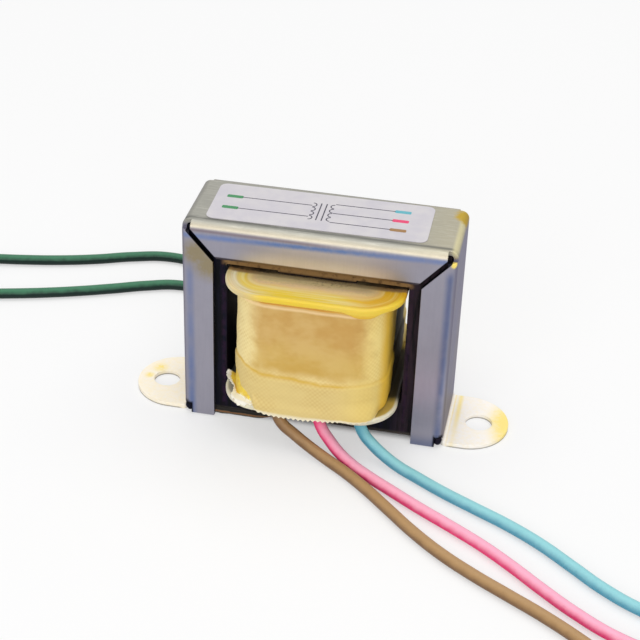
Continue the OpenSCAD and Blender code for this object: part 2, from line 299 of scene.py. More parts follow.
@dataclass(frozen=True)
class PlatedSteel:
    """Zinc plate with the yellow tints of its passivation, and with painted reflections, highlights and shade
    on its bends, lips and feet.
    """

    lip: str = "#9997A3"
    top_lip: str = "#B4AEB2"
    pale_lip: str = "#B2AEBC"
    # Painted shade low on the right lip.
    dim_lip: str = "#5F6A8A"
    warm_lip: str = "#EEE6E2"
    # Painted shadow along the top lip's lower edge, darker towards its ends.
    painted_lip_shadow: str = "#6E5426"
    painted_lip_shadow_end: str = "#2C2226"
    wall: str = "#7E7C8D"
    dull_wall: str = "#8D8988"
    top: str = "#9C9B92"
    top_right: str = "#ABA693"
    # Painted reflection: a dark band on the top just behind the front bend.
    top_dark_reflection: str = "#5E5F5A"
    brushed_top: str = "#D6D3C6"
    # The feet's colours are a painted brightness, far paler than the rest of the plate.
    foot: str = "#FFF3D6"
    blush: str = "#FFFAF3"
    # The three blues are a painted reflection along the front bends.
    blue: str = "#5F7DB6"
    left_blue_reflection: str = "#4F6AA0"
    right_blue_reflection: str = "#485D8B"
    # Painted highlight on the front bend.
    bend_highlight: str = "#C2B8A2"
    # Painted highlight on the right top bend.
    side_bend_highlight: str = "#DAD2A6"
    # Painted reflection: a tan line at the foot of the front bend.
    bend_reflection_tan: str = "#857880"
    # Straw yellow serves the real yellow tints and the painted glint.
    straw_and_glint: str = "#FFE678"
    gold: str = "#B89A2C"
    stain: str = "#8F7F4C"
    # Painted contact shadow on the feet's lower cut edges, with the cut steel darker there.
    cut_edge_shadow: str = "#57534E"
    # Near black as painted shade in the notches above the feet and along the mitre slits.
    relief: str = "#08080F"
    sheen: str = "#C2C0CC"
    smudges: tuple[Spot, ...] = (((-34.7, 0.2, 0.9), 1.4), ((-33.3, 3.2, 0.9), 2.2))
    # Painted highlight: a glint at the right front corner.
    glint: Spot = ((24.5, -8.7, 40.1), 0.95)
    gilt_corner: Spot = ((25.2, 5.6, 42.0), 4.6)
    stains: tuple[Spot, ...] = (((-19.6, -9.1, 33.9), 4.8), ((-22.0, -9.1, 36.0), 4.2))
    mitre_x: float = 18.77
    mitre_z: float = 34.98
    mitre_slope: Pair = (0.7522, 0.6589)
    slit: Pair = (0.46, 0.58)
    bend_z: float = 40.65
    bend_x: float = 23.55
    face_y: float = 8.9

    def make(self) -> Material:
        """Makes the material.

        Returns:
            The finished material.
        """
        shader = Shader("plated_steel")
        x, y, z = at = shader.place()
        cloudy = shader.grain(at, 0.22, 4.0)
        mottled = shader.grain(at, 1.3)
        streaky = shader.grain((x * 2.2, y * 2.2, z * 0.18), 1.0, 4.0)
        face = abs(y).rise(self.face_y - 0.5, self.face_y + 0.1)
        upper = z.rise(self.bend_z - 0.1, self.bend_z + 1.2)
        low = (1 - z.rise(1.0, 2.4)) * abs(x).rise(24.3, 25.4)
        marks = PlateMarks(at, cloudy, mottled, streaky, face, upper, low)

        colour = self.tints(marks, self.flats(shader, marks))
        tone = 0.9 + 0.16 * cloudy + 0.12 * (streaky - 0.5) + 0.08 * (mottled - 0.5)
        # Painted brightness: the feet are painted near white, and less metallic lower down.
        mild = mottled.rise(0.25, 0.7) * 0.5 + x.rise(-30.0, 30.0) * 0.5
        feet = shader.mix(self.foot, self.blush, mild)
        colour = self.gilding(shader, marks, shader.mix(BLACK, colour, tone.least(1.0)).under((feet, low)))
        # Painted contact shadow along the feet's lower cut edges.
        edge_shadow_mask = (1 - z.rise(0.1, 0.42)) * abs(x).rise(25.5, 26.5)
        # Painted shade: near black in the notches above the feet and along the mitre slits.
        notch_shade_mask = abs(x).rise(23.0, 23.5) * (1 - abs(x).rise(24.9, 25.2)) * abs(y).rise(7.9, 8.3)
        notch_shade_mask = notch_shade_mask * (1 - (z + (mottled - 0.5) * 1.2).rise(2.4, 3.3))
        slit = 1 - abs(self.past_mitre(x, z)).rise(*self.slit)
        slit = slit * abs(y).rise(7.9, 8.2) * z.rise(33.6, 34.3)
        return shader.finish(
            colour.under((self.cut_edge_shadow, edge_shadow_mask * 0.75), (self.relief, notch_shade_mask.most(slit * 0.95))),
            0.34 + 0.14 * mottled + 0.1 * low + 0.1 * upper,
            (0.6 * streaky + 0.4 * mottled, 0.02, 0.35),
            {"Metallic": 0.9 - 0.7 * low, "Specular Tint": srgb(self.sheen)},
        )

    def past_mitre(self, x: Socket, z: Socket) -> Socket:
        """How far a point of a lip is outside the middle of the nearer mitre's slit."""
        return (abs(x) - self.mitre_x) * self.mitre_slope[0] - (z - self.mitre_z) * self.mitre_slope[1]

    def flats(self, shader: Shader, marks: PlateMarks) -> Socket:
        """Colours the lips, the walls and the top, with a painted dark reflection behind the front bend,
        painted shade low on the right lip and a painted shadow along the top lip's lower edge.

        Args:
            shader: The material in the making.
            marks: What the colours go by.

        Returns:
            The grey of the plate.
        """
        x, y, z = marks.at
        worn = shader.grain((x * 0.1, y * 0.1, z * 0.05), 1.0, 5.0, 0.6)
        brushed = shader.grain((x * 0.25, y * 2.6, z), 1.0, 4.0)
        right_lip = marks.face * x.rise(17.5, 18.5)
        over = (1 - self.past_mitre(x, z).rise(-0.3, 0.0)) * z.rise(34.7, 35.2) * marks.face
        warm = over * (1 - abs(x).rise(8.5, 17.0)) * (1 - z.rise(35.7, 38.6))
        # Painted shadow on the top lip's lowest edge.
        lip_shadow_colour = shader.mix(self.painted_lip_shadow, self.painted_lip_shadow_end, abs(x).rise(11.0, 17.0))
        # The dark band behind the front bend is a painted reflection.
        roof = shader.mix(self.top, self.top_right, x.rise(12.0, 23.0)).under(
            (self.top_dark_reflection, (-y).band(6.9, 0.8) * 0.75),
            (self.brushed_top, brushed.rise(0.45, 0.85) * 0.35),
        )
        return shader.mix(self.wall, self.dull_wall, worn.rise(0.35, 0.7) * 0.7).under(
            (self.lip, marks.face),
            (self.pale_lip, right_lip * z.band(12.5, 9.5) * 0.85),
            # Painted shade low on the right lip.
            (self.dim_lip, right_lip * (1 - z.rise(0.4, 3.4)) * 0.7),
            (self.top_lip, over * (1 - abs(x - 1.0).rise(4.0, 17.0))),
            (self.warm_lip, warm * 0.55),
            (lip_shadow_colour, over * (1 - z.rise(35.6, 35.85)) * 0.9),
            (roof, marks.upper),
        )

    def tints(self, marks: PlateMarks, colour: Socket) -> Socket:
        """Adds the painted blue reflection along the bends, and the painted highlights and the painted tan
        reflection on them.

        Args:
            marks: What the tints go by.
            colour: The grey of the plate.

        Returns:
            The tinted plate.
        """
        x, y, z = marks.at
        wander = (marks.streaky - 0.5) * 0.35
        slant = (x + 10.0) * 0.024
        along_top = (z + wander - slant).band(self.bend_z - 0.85, 0.95) * (0.6 + 0.4 * x.band(-2.0, 24.0))
        left = (x + wander).band(-self.bend_x + 0.15, 1.25) * (0.7 - 0.25 * z.rise(8.0, 26.0))
        left = left * (1 - z.rise(31.0, 35.5))
        right = (x + wander).band(self.bend_x + 0.45, 1.3) * 0.68 * (1 - z.rise(37.0, 39.5))
        uneven = marks.face * (0.45 + 0.55 * marks.cloudy.rise(0.2, 0.6))
        # Painted light: blue painted reflections below the bends, a painted highlight and a painted tan
        # reflection on the front bend, and a painted highlight on the right bend.
        return colour.under(
            (self.left_blue_reflection, left * uneven),
            (self.right_blue_reflection, right * uneven),
            (self.blue, (along_top * uneven).least(0.9)),
            (self.bend_highlight, z.band(self.bend_z + 0.85, 0.7) * abs(y).rise(7.5, 8.3) * 0.8),
            (self.bend_reflection_tan, z.band(self.bend_z + 0.1, 0.55) * marks.face * (1 - x.rise(-4.0, 8.0)) * 0.8),
            (self.side_bend_highlight, x.rise(23.5, 24.3) * marks.upper * 0.75),
        )

    def gilding(self, shader: Shader, marks: PlateMarks, colour: Socket) -> Socket:
        """Adds the yellow on the feet and the corners, a painted glint at the right front corner, and the
        stain on the left lip.

        Args:
            shader: The material in the making.
            marks: What the patches go by.
            colour: The tinted plate.

        Returns:
            The plate with its patches.
        """
        x, y, z = at = marks.at
        uneven = marks.mottled - 0.5
        tip = (x - abs(y - 1.2) * 0.3 + uneven * 3.5).rise(30.8, 35.2) * marks.low
        seam = x.band(26.7, 0.8).most(x.band(25.7, 0.3) * 0.7) * marks.low * (0.35 + 0.65 * y.rise(-6.0, 4.0))
        smudge = shader.spots(at, *self.smudges) * marks.mottled.rise(0.25, 0.6)
        # The glint is a painted highlight, in the same straw yellow as the real tints.
        straw_and_glint = (tip * 0.9).most(seam * 0.7).most(smudge).most(shader.spots(at, self.glint) * 1.8)
        corner = shader.spots(at, self.gilt_corner) * 2.0 - 0.4 + uneven * 1.1
        stained = shader.spots(at, *self.stains) * (0.65 + 0.55 * marks.mottled.rise(0.2, 0.8))
        return colour.under(
            (self.straw_and_glint, straw_and_glint.least(0.95)),
            (self.gold, corner.rise(0.0, 1.0) * z.rise(40.0, 41.3) * 0.92),
            (self.stain, (stained * self.past_mitre(x, z).rise(0.0, 0.3)).least(0.72)),
        )


@dataclass(frozen=True)
class CoreSteel:
    """Varnished, blackened lamination steel."""

    name: str = "core_steel"
    dark: str = "#05070B"
    navy: str = "#0E0E20"
    violet: str = "#26142C"
    rust: str = "#35272D"
    fleck: str = "#5C5A62"
    # Painted reflection: the brown of the flange in the core's face under the top lip.
    brown: str = "#93734A"
    # Painted bounce light on the core's bottom edge.
    dust_and_bounce_light: str = "#4B4640"

    def make(self) -> Material:
        """Makes the material.

        Returns:
            The finished material.
        """
        shader = Shader(self.name)
        x, y, z = at = shader.place()
        streaky = shader.grain((x * 1.3, y, z * 0.12), 1.0)
        cloudy = shader.grain(at, 0.8)
        speck = shader.grain(at, 5.0, 1.0).rise(0.7, 0.77)
        sheet = shader.grain((x * 0.05, y * 4.0, z * 0.05), 1.0, 2.0)
        # Painted reflection: the core's face under the top lip is painted brown, with the flange reflected in
        # it.
        painted_under_lip = z.rise(33.4, 33.95) * (1 - z.rise(36.5, 38.0)) * (1 - abs(x).rise(16.5, 18.0))
        colour = shader.mix(self.dark, self.navy, streaky.rise(0.4, 0.65)).under(
            (self.violet, abs(x).band(17.3, 0.8) * cloudy.rise(0.3, 0.6)),
            (self.rust, x.rise(14.0, 17.0) * streaky.rise(0.3, 0.6) * 0.6),
            (self.fleck, speck * 0.45),
            (self.brown, painted_under_lip * cloudy.rise(0.15, 0.5)),
            # Painted bounce light: the core's bottom 2 mm are painted grey-brown.
            (self.dust_and_bounce_light, (1 - z.rise(1.5, 2.3)) * 0.8),
        )
        relief = (shader.grain(at, 3.0), 0.03, 0.5)
        return shader.finish(colour, 0.45 + 0.25 * sheet, relief, {"Specular IOR Level": 0.1})


@dataclass(frozen=True)
class DarkEdgeFinish:
    """Nearly black at the top and the bottom, grey between, with a patchy amber line."""

    near_black: str = "#1B1712"
    # The colour of the amber line.
    thin: str = "#8A5A34"
    grey: str = "#5D584A"

    def make(self) -> Material:
        """Makes the material.

        Returns:
            The finished material.
        """
        shader = Shader("amber_varnish")
        x, y, z = shader.place()
        uneven = shader.grain((x * 0.6, y, z * 1.5), 1.0)
        height = z + (uneven - 0.5) * 0.5
        colour = shader.mix(self.grey, self.near_black, height.rise(1.0, 1.25)).under(
            (self.thin, height.band(0.92, 0.26) * uneven.rise(0.25, 0.5)),
            (self.near_black, 1 - height.rise(0.42, 0.58)),
        )
        return shader.finish(colour, 0.4 + 0.3 * uneven, (uneven, 0.05, 0.4), {"Specular IOR Level": 0.2})


@dataclass(frozen=True)
class BobbinNylon:
    """Waxy nylon, pale below and stained in yellow rings by the varnish above."""

    pale: str = "#E9E2C8"
    grey: str = "#C9C4AE"
    left: str = "#D2BC88"
    ring: str = "#EADB9E"
    band: str = "#E6C62C"
    ochre: str = "#DCA51A"
    inner: str = "#DFBE92"
    shade: str = "#94744A"
    gilt: str = "#DDB22E"
    # Painted shade inside the core's window.
    window_shade: str = "#0E0C08"
    # Dark specks, and the painted shade where the flange meets the core under the top lip.
    soot_and_shade: str = "#2C2114"
    # Painted shade: grey-olive towards the top lip's shadow.
    shade_grey_olive: str = "#928C6C"
    # Painted shade on the lower flange's deck.
    deck_shade: str = "#8B877C"
    olive: str = "#BDA01C"
    half_x: float = 16.25
    half_y: float = 17.19
    corner: float = 7.2

    def make(self) -> Material:
        """Makes the material.

        Returns:
            The finished material.
        """
        shader = Shader("bobbin_nylon")
        x, y, z = at = shader.place()
        cloudy = shader.grain(at, 0.35, 4.0)
        mottled = shader.grain(at, 1.8)
        depth = self.depth(shader, x, y)
        rings = shader.grain((depth * 1.5, x * 0.07, y * 0.07), 1.0, 2.0)
        thin = rings.rise(0.4, 0.7)
        left_rim = (1 - x.rise(-13.0, -5.0)) * (1 - depth.rise(1.4, 3.0))
        # Painted shade: the upper flange goes grey-olive towards the top lip's shadow.
        grey_olive_shade = (1 - (abs(y) + (mottled - 0.5) * 2.0).rise(10.0, 12.4)) * (1 - abs(x).rise(9.0, 13.0))
        # Painted shade: a near-black line where the flange meets the core under the top lip.
        painted_under_lip = 1 - (abs(y) + (mottled - 0.5) * 0.9).rise(8.15, 8.75)
        front = (1 - depth.rise(0.5, 0.9)) * (-y).rise(10.0, 13.0) * x.rise(-11.0, -7.0)
        stained = shader.mix(self.band, self.ring, rings.rise(0.36, 0.72) * 0.75).under(
            (self.ochre, x.rise(4.0, 12.0) * (0.85 - 0.5 * thin)),
            (self.inner, (depth + (cloudy - 0.5) * 1.8).rise(2.9, 5.6) * (0.95 - 0.4 * thin)),
            (shader.mix(self.left, self.pale, rings.rise(0.3, 0.8)), left_rim * 0.85),
            (self.shade, 1 - (abs(y) + (cloudy - 0.5) * 0.8).rise(9.1, 9.9)),
            (self.shade_grey_olive, grey_olive_shade * 0.55),
            (self.soot_and_shade, grey_olive_shade * mottled.rise(0.5, 0.68) * x.band(2.0, 9.0) * 0.5),
            (self.soot_and_shade, painted_under_lip * (0.55 + 0.45 * cloudy.rise(0.3, 0.6))),
            (self.band, front * 0.85),
            (self.gilt, front * (1 - z.rise(32.1, 32.7)) * x.rise(3.0, 7.0)),
        )
        # Painted shade: the lower flange's deck is painted darker, grey on the left turning olive on the
        # right.
        deck = z.rise(9.45, 9.6) * depth.rise(0.25, 0.7)
        # Painted shade: the flange inside the core's window is painted near black.
        inside = 1 - (abs(y) + (cloudy - 0.5) * 1.2).rise(7.7, 10.4)
        colour = shader.mix(self.pale, self.grey, cloudy.rise(0.35, 0.7)).under(
            (shader.mix(self.deck_shade, self.olive, x.rise(-4.0, 8.0)), deck * 0.85),
            (self.window_shade, inside * 0.94),
            (stained, z.rise(20.0, 30.0)),
        )
        glow = {"Weight": 0.2, "Radius": (1.0, 0.7, 0.3), "Scale": 0.8 * MM}
        others = {f"Subsurface {key}": value for key, value in glow.items()}
        return shader.finish(colour, 0.36 + 0.18 * cloudy, (0.5 * rings + 0.5 * mottled, 0.08, 0.4), others)

    def depth(self, shader: Shader, x: Socket, y: Socket) -> Socket:
        """Measures how far a point is inside the flange's rounded outline.

        Args:
            shader: The material in the making.
            x: The point's place along X.
            y: Its place along Y.

        Returns:
            Millimetres inward.
        """
        over_x = abs(x) - (self.half_x - self.corner)
        over_y = abs(y) - (self.half_y - self.corner)
        outer = shader.vector(over_x.most(0.0), over_y.most(0.0), 0.0)
        radial = shader.node("ShaderNodeVectorMath", {"operation": "LENGTH"}, {0: outer}, "Value")
        return self.corner - radial - over_x.most(over_y).least(0.0)


@dataclass(frozen=True)
class WovenTape:
    """Varnished cotton tape with a fine slanting weave."""

    name: str = "coil_tape"
    cloth: str = "#F4E0A0"
    thread: str = "#CFAC62"
    varnish: str = "#C59A50"
    amber: str = "#CAA34C"
    yellowed: str = "#EBCE6A"
    warm: str = "#EDBE2C"
    line: str = "#D6AC3C"
    seam: str = "#C98A18"
    lit: str = "#F7D9A6"
    hem: str = "#F6F1DC"
    # Painted shade inside the core's window.
    window_shade: str = "#120D07"
    pitch: float = 0.9
    varnished: float = 1.0
    varnish_top: float = 32.5
    varnish_low: float = 17.4
    seam_z: float = 31.8

    def make(self) -> Material:
        """Makes the material.

        Returns:
            The finished material.
        """
        shader = Shader(self.name)
        x, y, z = at = shader.place()
        u, v, _ = shader.split(shader.node("ShaderNodeUVMap", {"uv_map": WEAVE}))
        edge = shader.node("ShaderNodeAttribute", {"attribute_name": BORDER}, {}, "Fac")
        weave = 0.5 + 0.5 * u.wave(self.pitch) * v.wave(self.pitch)
        cloudy = shader.grain(at, 0.3, 4.0)
        patch = shader.grain((x, y, z * 1.4), 0.16)
        uneven = cloudy - 0.5
        wander = uneven * 6.0
        front = (-y).rise(8.0, 13.0)
        soaked = (
            (1 - abs(x + wander * 0.7 - 0.5).rise(8.5, 12.0))
            * (z + wander * 0.4).rise(self.varnish_low - 1.5, self.varnish_low + 2.0)
            * (1 - (z + wander * 0.15).rise(self.varnish_top - 0.8, self.varnish_top))
            * front
            * self.varnished
        )
        bare = (1 - soaked * 0.9) * (0.3 + 0.7 * patch.rise(0.4, 0.62))
        deep = shader.mix(self.amber, self.varnish, (z + wander).rise(20.0, 27.0))
        turned = (x + wander * 0.1).rise(12.7, 14.0) * (1 - y.rise(-3.0, 0.0))
        lit = (z + uneven * 0.3).band(self.seam_z - 0.3, 0.5) * front * (1 - x.rise(9.0, 12.0))
        top = (z + uneven * 0.4).rise(self.seam_z, self.seam_z + 0.25)
        # Painted shade: the tape's sides inside the core's window are painted near black, except the front of
        # the right side.
        behind = y + uneven * 1.5 - (z - 14.0) * 0.33
        seen = x.rise(0.0, 1.0) * (1 - behind.rise(-5.6, -3.6))
        inside = (1 - (abs(y) + uneven * 1.5).rise(8.0, 9.4)) * abs(x).rise(12.5, 13.5) * (1 - seen)
        colour = shader.mix(self.thread, self.cloth, 1 - (1 - weave) * bare * 0.5).under(
            (self.yellowed, x.rise(4.0, 12.0) * 0.5),
            (deep, soaked * (0.78 + 0.22 * patch.rise(0.35, 0.65))),
            (self.warm, turned * 0.85),
            (self.lit, lit * 0.65),
            (shader.mix(self.seam, self.line, x.rise(2.0, 8.0)), top * 0.85),
            (self.line, edge.most(0.0) * (0.45 + 0.4 * cloudy.rise(0.25, 0.6))),
            (self.hem, (-edge).most(0.0) * 0.8),
            (self.window_shade, inside * 0.93),
        )
        colour = shader.mix(BLACK, colour, (0.93 + 0.16 * cloudy).least(1.0))
        relief = (weave * bare, 0.04, 0.35)
        return shader.finish(colour, 0.72 - 0.28 * soaked, relief, {"Specular IOR Level": 0.35})


@dataclass(frozen=True)
class FrayedTape:
    """Torn tape, varnish-yellow where it is stuck down and white where it is frayed."""

    stuck: str = "#FADC48"
    amber: str = "#DDB04A"
    white: str = "#FBF8EA"

    def make(self) -> Material:
        """Makes the material.

        Returns:
            The finished material.
        """
        shader = Shader("frayed_tape")
        at = shader.place()
        fibre = shader.grain(at, 3.2, 4.0)
        edge = shader.node("ShaderNodeAttribute", {"attribute_name": BORDER}, {}, "Fac")
        soaked = shader.grain(at, 0.7).rise(0.35, 0.65) * 0.65
        frayed = (edge + (fibre - 0.5) * 1.5).rise(0.25, 0.75)
        colour = shader.mix(self.stuck, self.amber, soaked).under((self.white, frayed))
        return shader.finish(colour, 0.6 + 0.2 * fibre, (fibre, 0.12, 0.7))


@dataclass(frozen=True)
class LeadInsulation:
    """Soft, slightly dusty vinyl, painted lighter where it faces up and darker under it, as painted light and
    shade.
    """

    name: str
    deep: str
    lit_top: str
    shaded: float = -0.2

    def make(self) -> Material:
        """Makes the material.

        Returns:
            The finished material.
        """
        shader = Shader(self.name)
        at = shader.place()
        cloudy = shader.grain(at, 0.5)
        dust_and_bounce_light = shader.grain(at, 5.0, 2.0)
        _, _, up = shader.split(shader.node("ShaderNodeNewGeometry", output="Normal"))
        # Painted light and shade: lighter where the wire faces up, darker under it.
        colour = shader.mix(self.deep, self.lit_top, (up + (cloudy - 0.5) * 0.6).rise(self.shaded, 1.05))
        return shader.finish(colour, 0.3 + 0.16 * dust_and_bounce_light, (cloudy, 0.08, 0.3), {"Specular IOR Level": 0.25})


@dataclass(frozen=True)
class EnamelledWire:
    """Layers of fine enamelled wire, seen as turns along the coil."""

    bright: str = "#C9773A"
    gap: str = "#5A2A14"
    turn: float = 0.35

    def make(self) -> Material:
        """Makes the material.

        Returns:
            The finished material.
        """
        shader = Shader("enamelled_wire")
        at = shader.place()
        turns = 0.5 + 0.5 * at[2].wave(self.turn)
        worn = shader.grain(at, 0.8)
        colour = shader.mix(self.gap, self.bright, turns.rise(0.05, 0.6))
        return shader.finish(colour, 0.3 + 0.2 * worn, (turns, 0.1, 0.8), {"Metallic": 0.6})


@dataclass(frozen=True)
class GrainyFinish:
    """Two colours that follow a grain.

    The grain is a scale and a detail, the share says where in it one colour gives way to the other,
    and the roughness is its least value and what the grain adds. A finer grain, the depth and the
    strength of a relief and a stretch along Z are left out where a piece needs none.
    """

    name: str
    first: str
    second: str
    grain: Pair
    share: Pair
    roughness: Pair
    fine: Pair | None = None
    relief: Pair | None = None
    upright: float = 1.0
    metallic: float = 0.0

    def make(self) -> Material:
        """Makes the material.

        Returns:
            The finished material.
        """
        shader = Shader(self.name)
        x, y, z = shader.place()
        at = (x, y, z * self.upright)
        broad = shader.grain(at, *self.grain)
        fine = shader.grain(at, *self.fine) if self.fine else broad
        colour = shader.mix(self.first, self.second, broad.rise(*self.share))
        least, more = self.roughness
        relief = (fine, *self.relief) if self.relief else None
        return shader.finish(colour, least + more * fine, relief, {"Metallic": self.metallic})


@dataclass(frozen=True)
class LabelPaper(GrainyFinish):
    """Smooth paper with a faint cast."""

    name: str = "label_paper"
    first: str = "#CFCBCD"
    second: str = "#C5C1C8"
    grain: Pair = (0.25, 4.0)
    share: Pair = (0.3, 0.7)
    roughness: Pair = (0.42, 0.15)
    fine: Pair = (9.0, 2.0)
    relief: Pair = (0.01, 0.3)


@dataclass(frozen=True)
class Ink(GrainyFinish):
    """Dull printing ink that has soaked in unevenly."""

    name: str = "ink"
    first: str = "#2A2836"
    second: str = "#4A4858"
    grain: Pair = (4.0, 3.0)
    share: Pair = (0.4, 0.7)
    roughness: Pair = (0.5, 0.2)


@dataclass(frozen=True)
class TinnedCopper(GrainyFinish):
    """Solder-tinned wire."""

    name: str = "tinned_copper"
    first: str = "#C9C9CC"
    second: str = "#8F8E90"
    grain: Pair = (2.5, 4.0)
    share: Pair = (0.35, 0.75)
    roughness: Pair = (0.22, 0.25)
    metallic: float = 1.0


@dataclass(frozen=True)
class InsulationPaper(GrainyFinish):
    """Thin tan paper or sleeving with a fibrous look."""

    name: str = "insulation_paper"
    first: str = "#DCC58E"
    second: str = "#B99A60"
    grain: Pair = (1.2, 4.0)
    share: Pair = (0.3, 0.75)
    roughness: Pair = (0.6, 0.2)
    relief: Pair = (0.03, 0.5)
    upright: float = 6.0


class Pick(Enum):
    """What a selection on the bench is made of."""

    VERT = "verts"
    EDGE = "edges"
    FACE = "faces"


class Carve(Enum):
    """What one piece does to another."""

    ADD = "UNION"
    CUT = "DIFFERENCE"


class Piece:
    """One object on the bench, shaped with Blender's own operators."""

    def __init__(self, made: bpy.types.Object, name: str) -> None:
        """Takes an object and names it.

        Args:
            made: The object.
            name: The name that it and its mesh get.
        """
        self.object = made
        made.name = name
        made.data.name = name

    @classmethod
    def add(cls, name: str, primitive: Callable[..., Any], **sizes: Any) -> "Piece":
        """Starts a piece from a primitive.

        Args:
            name: The piece's name.
            primitive: The operator that adds it.
            sizes: What the operator is told, in metres.

        Returns:
            The piece.
        """
        bpy.ops.object.select_all(action="DESELECT")
        primitive(**sizes)
        return cls(bpy.context.object, name)

    @classmethod
    def box(cls, name: str, low: Sequence[float], high: Sequence[float]) -> "Piece":
        """Starts a piece from a cube.

        Args:
            name: The piece's name.
            low: Its lowest corner.
            high: Its highest corner.

        Returns:
            The piece.
        """
        middle = [(a + b) / 2 * MM for a, b in zip(low, high)]
        piece = cls.add(name, bpy.ops.mesh.primitive_cube_add, size=1.0, location=middle)
        piece.object.scale = [(b - a) * MM for a, b in zip(low, high)]
        piece.apply()
        return piece

    @classmethod
    def pillar(cls, name: str, half: Pair, low: float, high: float) -> "Piece":
        """Starts a piece from an upright block round the Z axis."""
        return cls.box(name, (-half[0], -half[1], low), (half[0], half[1], high))

    def wake(self) -> None:
        """Makes this the one selected and active object."""
        bpy.ops.object.select_all(action="DESELECT")
        self.object.select_set(True)
        bpy.context.view_layer.objects.active = self.object

    def apply(self) -> None:
        """Takes the object's place, turn and scale into its mesh."""
        self.wake()
        bpy.ops.object.transform_apply(location=True, rotation=True, scale=True)

    def edit(self, whole: bool = False) -> None:
        """Goes into edit mode.

        Args:
            whole: Whether the whole mesh is selected, or nothing of it.
        """
        self.wake()
        bpy.ops.object.mode_set(mode="EDIT")
        bpy.ops.mesh.select_all(action="SELECT" if whole else "DESELECT")

    def leave(self) -> None:
        """Goes back to object mode."""
        bpy.ops.object.mode_set(mode="OBJECT")

    def pick(self, kind: Pick, test: Callable[[Any], bool]) -> None:
        """Selects what passes a test, in edit mode.

        Args:
            kind: Vertices, edges or faces.
            test: Says whether one of them is wanted.
        """
        bpy.ops.mesh.select_mode(type=kind.name)
        bpy.ops.mesh.select_all(action="DESELECT")
        mesh = bmesh.from_edit_mesh(self.object.data)
        for part in getattr(mesh, kind.value):
            if test(part):
                part.select_set(True)
        mesh.select_flush_mode()
        bmesh.update_edit_mesh(self.object.data)

    def face_out(self) -> None:
        """Turns every face outward and goes back to object mode."""
        bpy.ops.mesh.select_all(action="SELECT")
        bpy.ops.mesh.normals_make_consistent(inside=False)
        self.leave()

    def modify(self, kind: str, **settings: Any) -> None:
        """Adds a modifier, sets it and applies it.

        Args:
            kind: The modifier's type.
            settings: What is set on it.
        """
        self.wake()
        bpy.ops.object.modifier_add(type=kind)
        modifier = self.object.modifiers[-1]
        for key, value in settings.items():
            setattr(modifier, key, value)
        bpy.ops.object.modifier_apply(modifier=modifier.name)

    def carve(self, tool: "Piece", way: Carve) -> None:
        """Adds another piece or cuts it out, and throws it away."""
        self.modify("BOOLEAN", operation=way.value, solver="EXACT", object=tool.object)
        bpy.data.objects.remove(tool.object)

    def sculpt(self, move: Callable[[Vector], Vector]) -> None:
        """Moves every vertex, as millimetres in and millimetres out."""
        for vertex in self.object.data.vertices:
            vertex.co = move(vertex.co / MM) * MM

    def mark(self, name: str, value: Callable[[Vector], float]) -> None:
        """Writes a number on every vertex.

        Args:
            name: The attribute's name.
            value: Gives the number for a point in millimetres.
        """
        mesh = self.object.data
        layer = mesh.attributes.new(name, "FLOAT", "POINT")
        for vertex, mark in zip(mesh.vertices, layer.data):
            mark.value = value(vertex.co / MM)

    def smooth(self, angle: float) -> None:
        """Shades the piece smooth, with the edges past an angle kept sharp."""
        self.wake()
        bpy.ops.object.shade_smooth_by_angle(angle=math.radians(angle))

    def settle(self, material: Material, slot: str, *nodes: str) -> None:
        """Dresses the finished piece and fixes it to the frame.

        Args:
            material: The finish.
            slot: A material slot's name, which is not used.
            nodes: The solids that the piece stands for.
        """
        self.object.data.materials.clear()
        self.object.data.materials.append(material)
        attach(self.object, BODY)
        if nodes:
            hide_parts(*nodes)
        LOG.info("%s: %d faces", self.object.name, len(self.object.data.polygons))


def upright(edge: bmesh.types.BMEdge) -> bool:
    """Says whether an edge runs along Z."""
    along = edge.verts[0].co - edge.verts[1].co
    return abs(along.z) > 0.99 * along.length


@dataclass
class PhotoCamera:
    """The camera at the photograph's place."""

    azimuth: float = 10.49
    elevation: float = 32.797
    roll: float = 1.966
    aim_right: float = -0.673
    aim_height: float = 19.364
    distance: float = 297.17
    lens: float = 88.557
    sensor: float = 36.0
    clip: float = 10.0

    def build(self) -> None:
        """Adds the camera and makes it the scene's own."""
        turn, tilt, roll = (math.radians(v) for v in (self.azimuth, self.elevation, self.roll))
        flat = math.cos(tilt)
        forward = Vector((-math.sin(turn) * flat, math.cos(turn) * flat, -math.sin(tilt)))
        level = Vector((math.cos(turn), math.sin(turn), 0.0))
        above = level.cross(forward)
        right = level * math.cos(roll) + above * math.sin(roll)
        up = above * math.cos(roll) - level * math.sin(roll)
        eye = level * self.aim_right + Vector((0.0, 0.0, self.aim_height)) - forward * self.distance
        facing = Matrix((right, up, -forward)).transposed().to_4x4()
        bpy.ops.object.camera_add()
        camera = bpy.context.object
        camera.name = "photo_camera"
        camera.matrix_world = Matrix.Translation(eye * MM) @ facing
        camera.data.sensor_width = self.sensor
        camera.data.lens = self.lens
        camera.data.clip_start = self.clip * MM
        bpy.context.scene.camera = camera


@dataclass
class Softbox:
    """One soft studio lamp. Sizes are metres."""

    name: str
    place: Point
    aim: Point
    size: Pair
    power: float

    def build(self) -> None:
        """Adds the lamp and turns it to its aim."""
        bpy.ops.object.light_add(type="AREA", location=self.place)
        lamp = bpy.context.object
        lamp.name = self.name
        lamp.data.shape = "RECTANGLE"
        lamp.data.size, lamp.data.size_y = self.size
        lamp.data.energy = self.power
        lamp.rotation_euler = (Vector(self.aim) - Vector(self.place)).to_track_quat("-Z", "Y").to_euler()


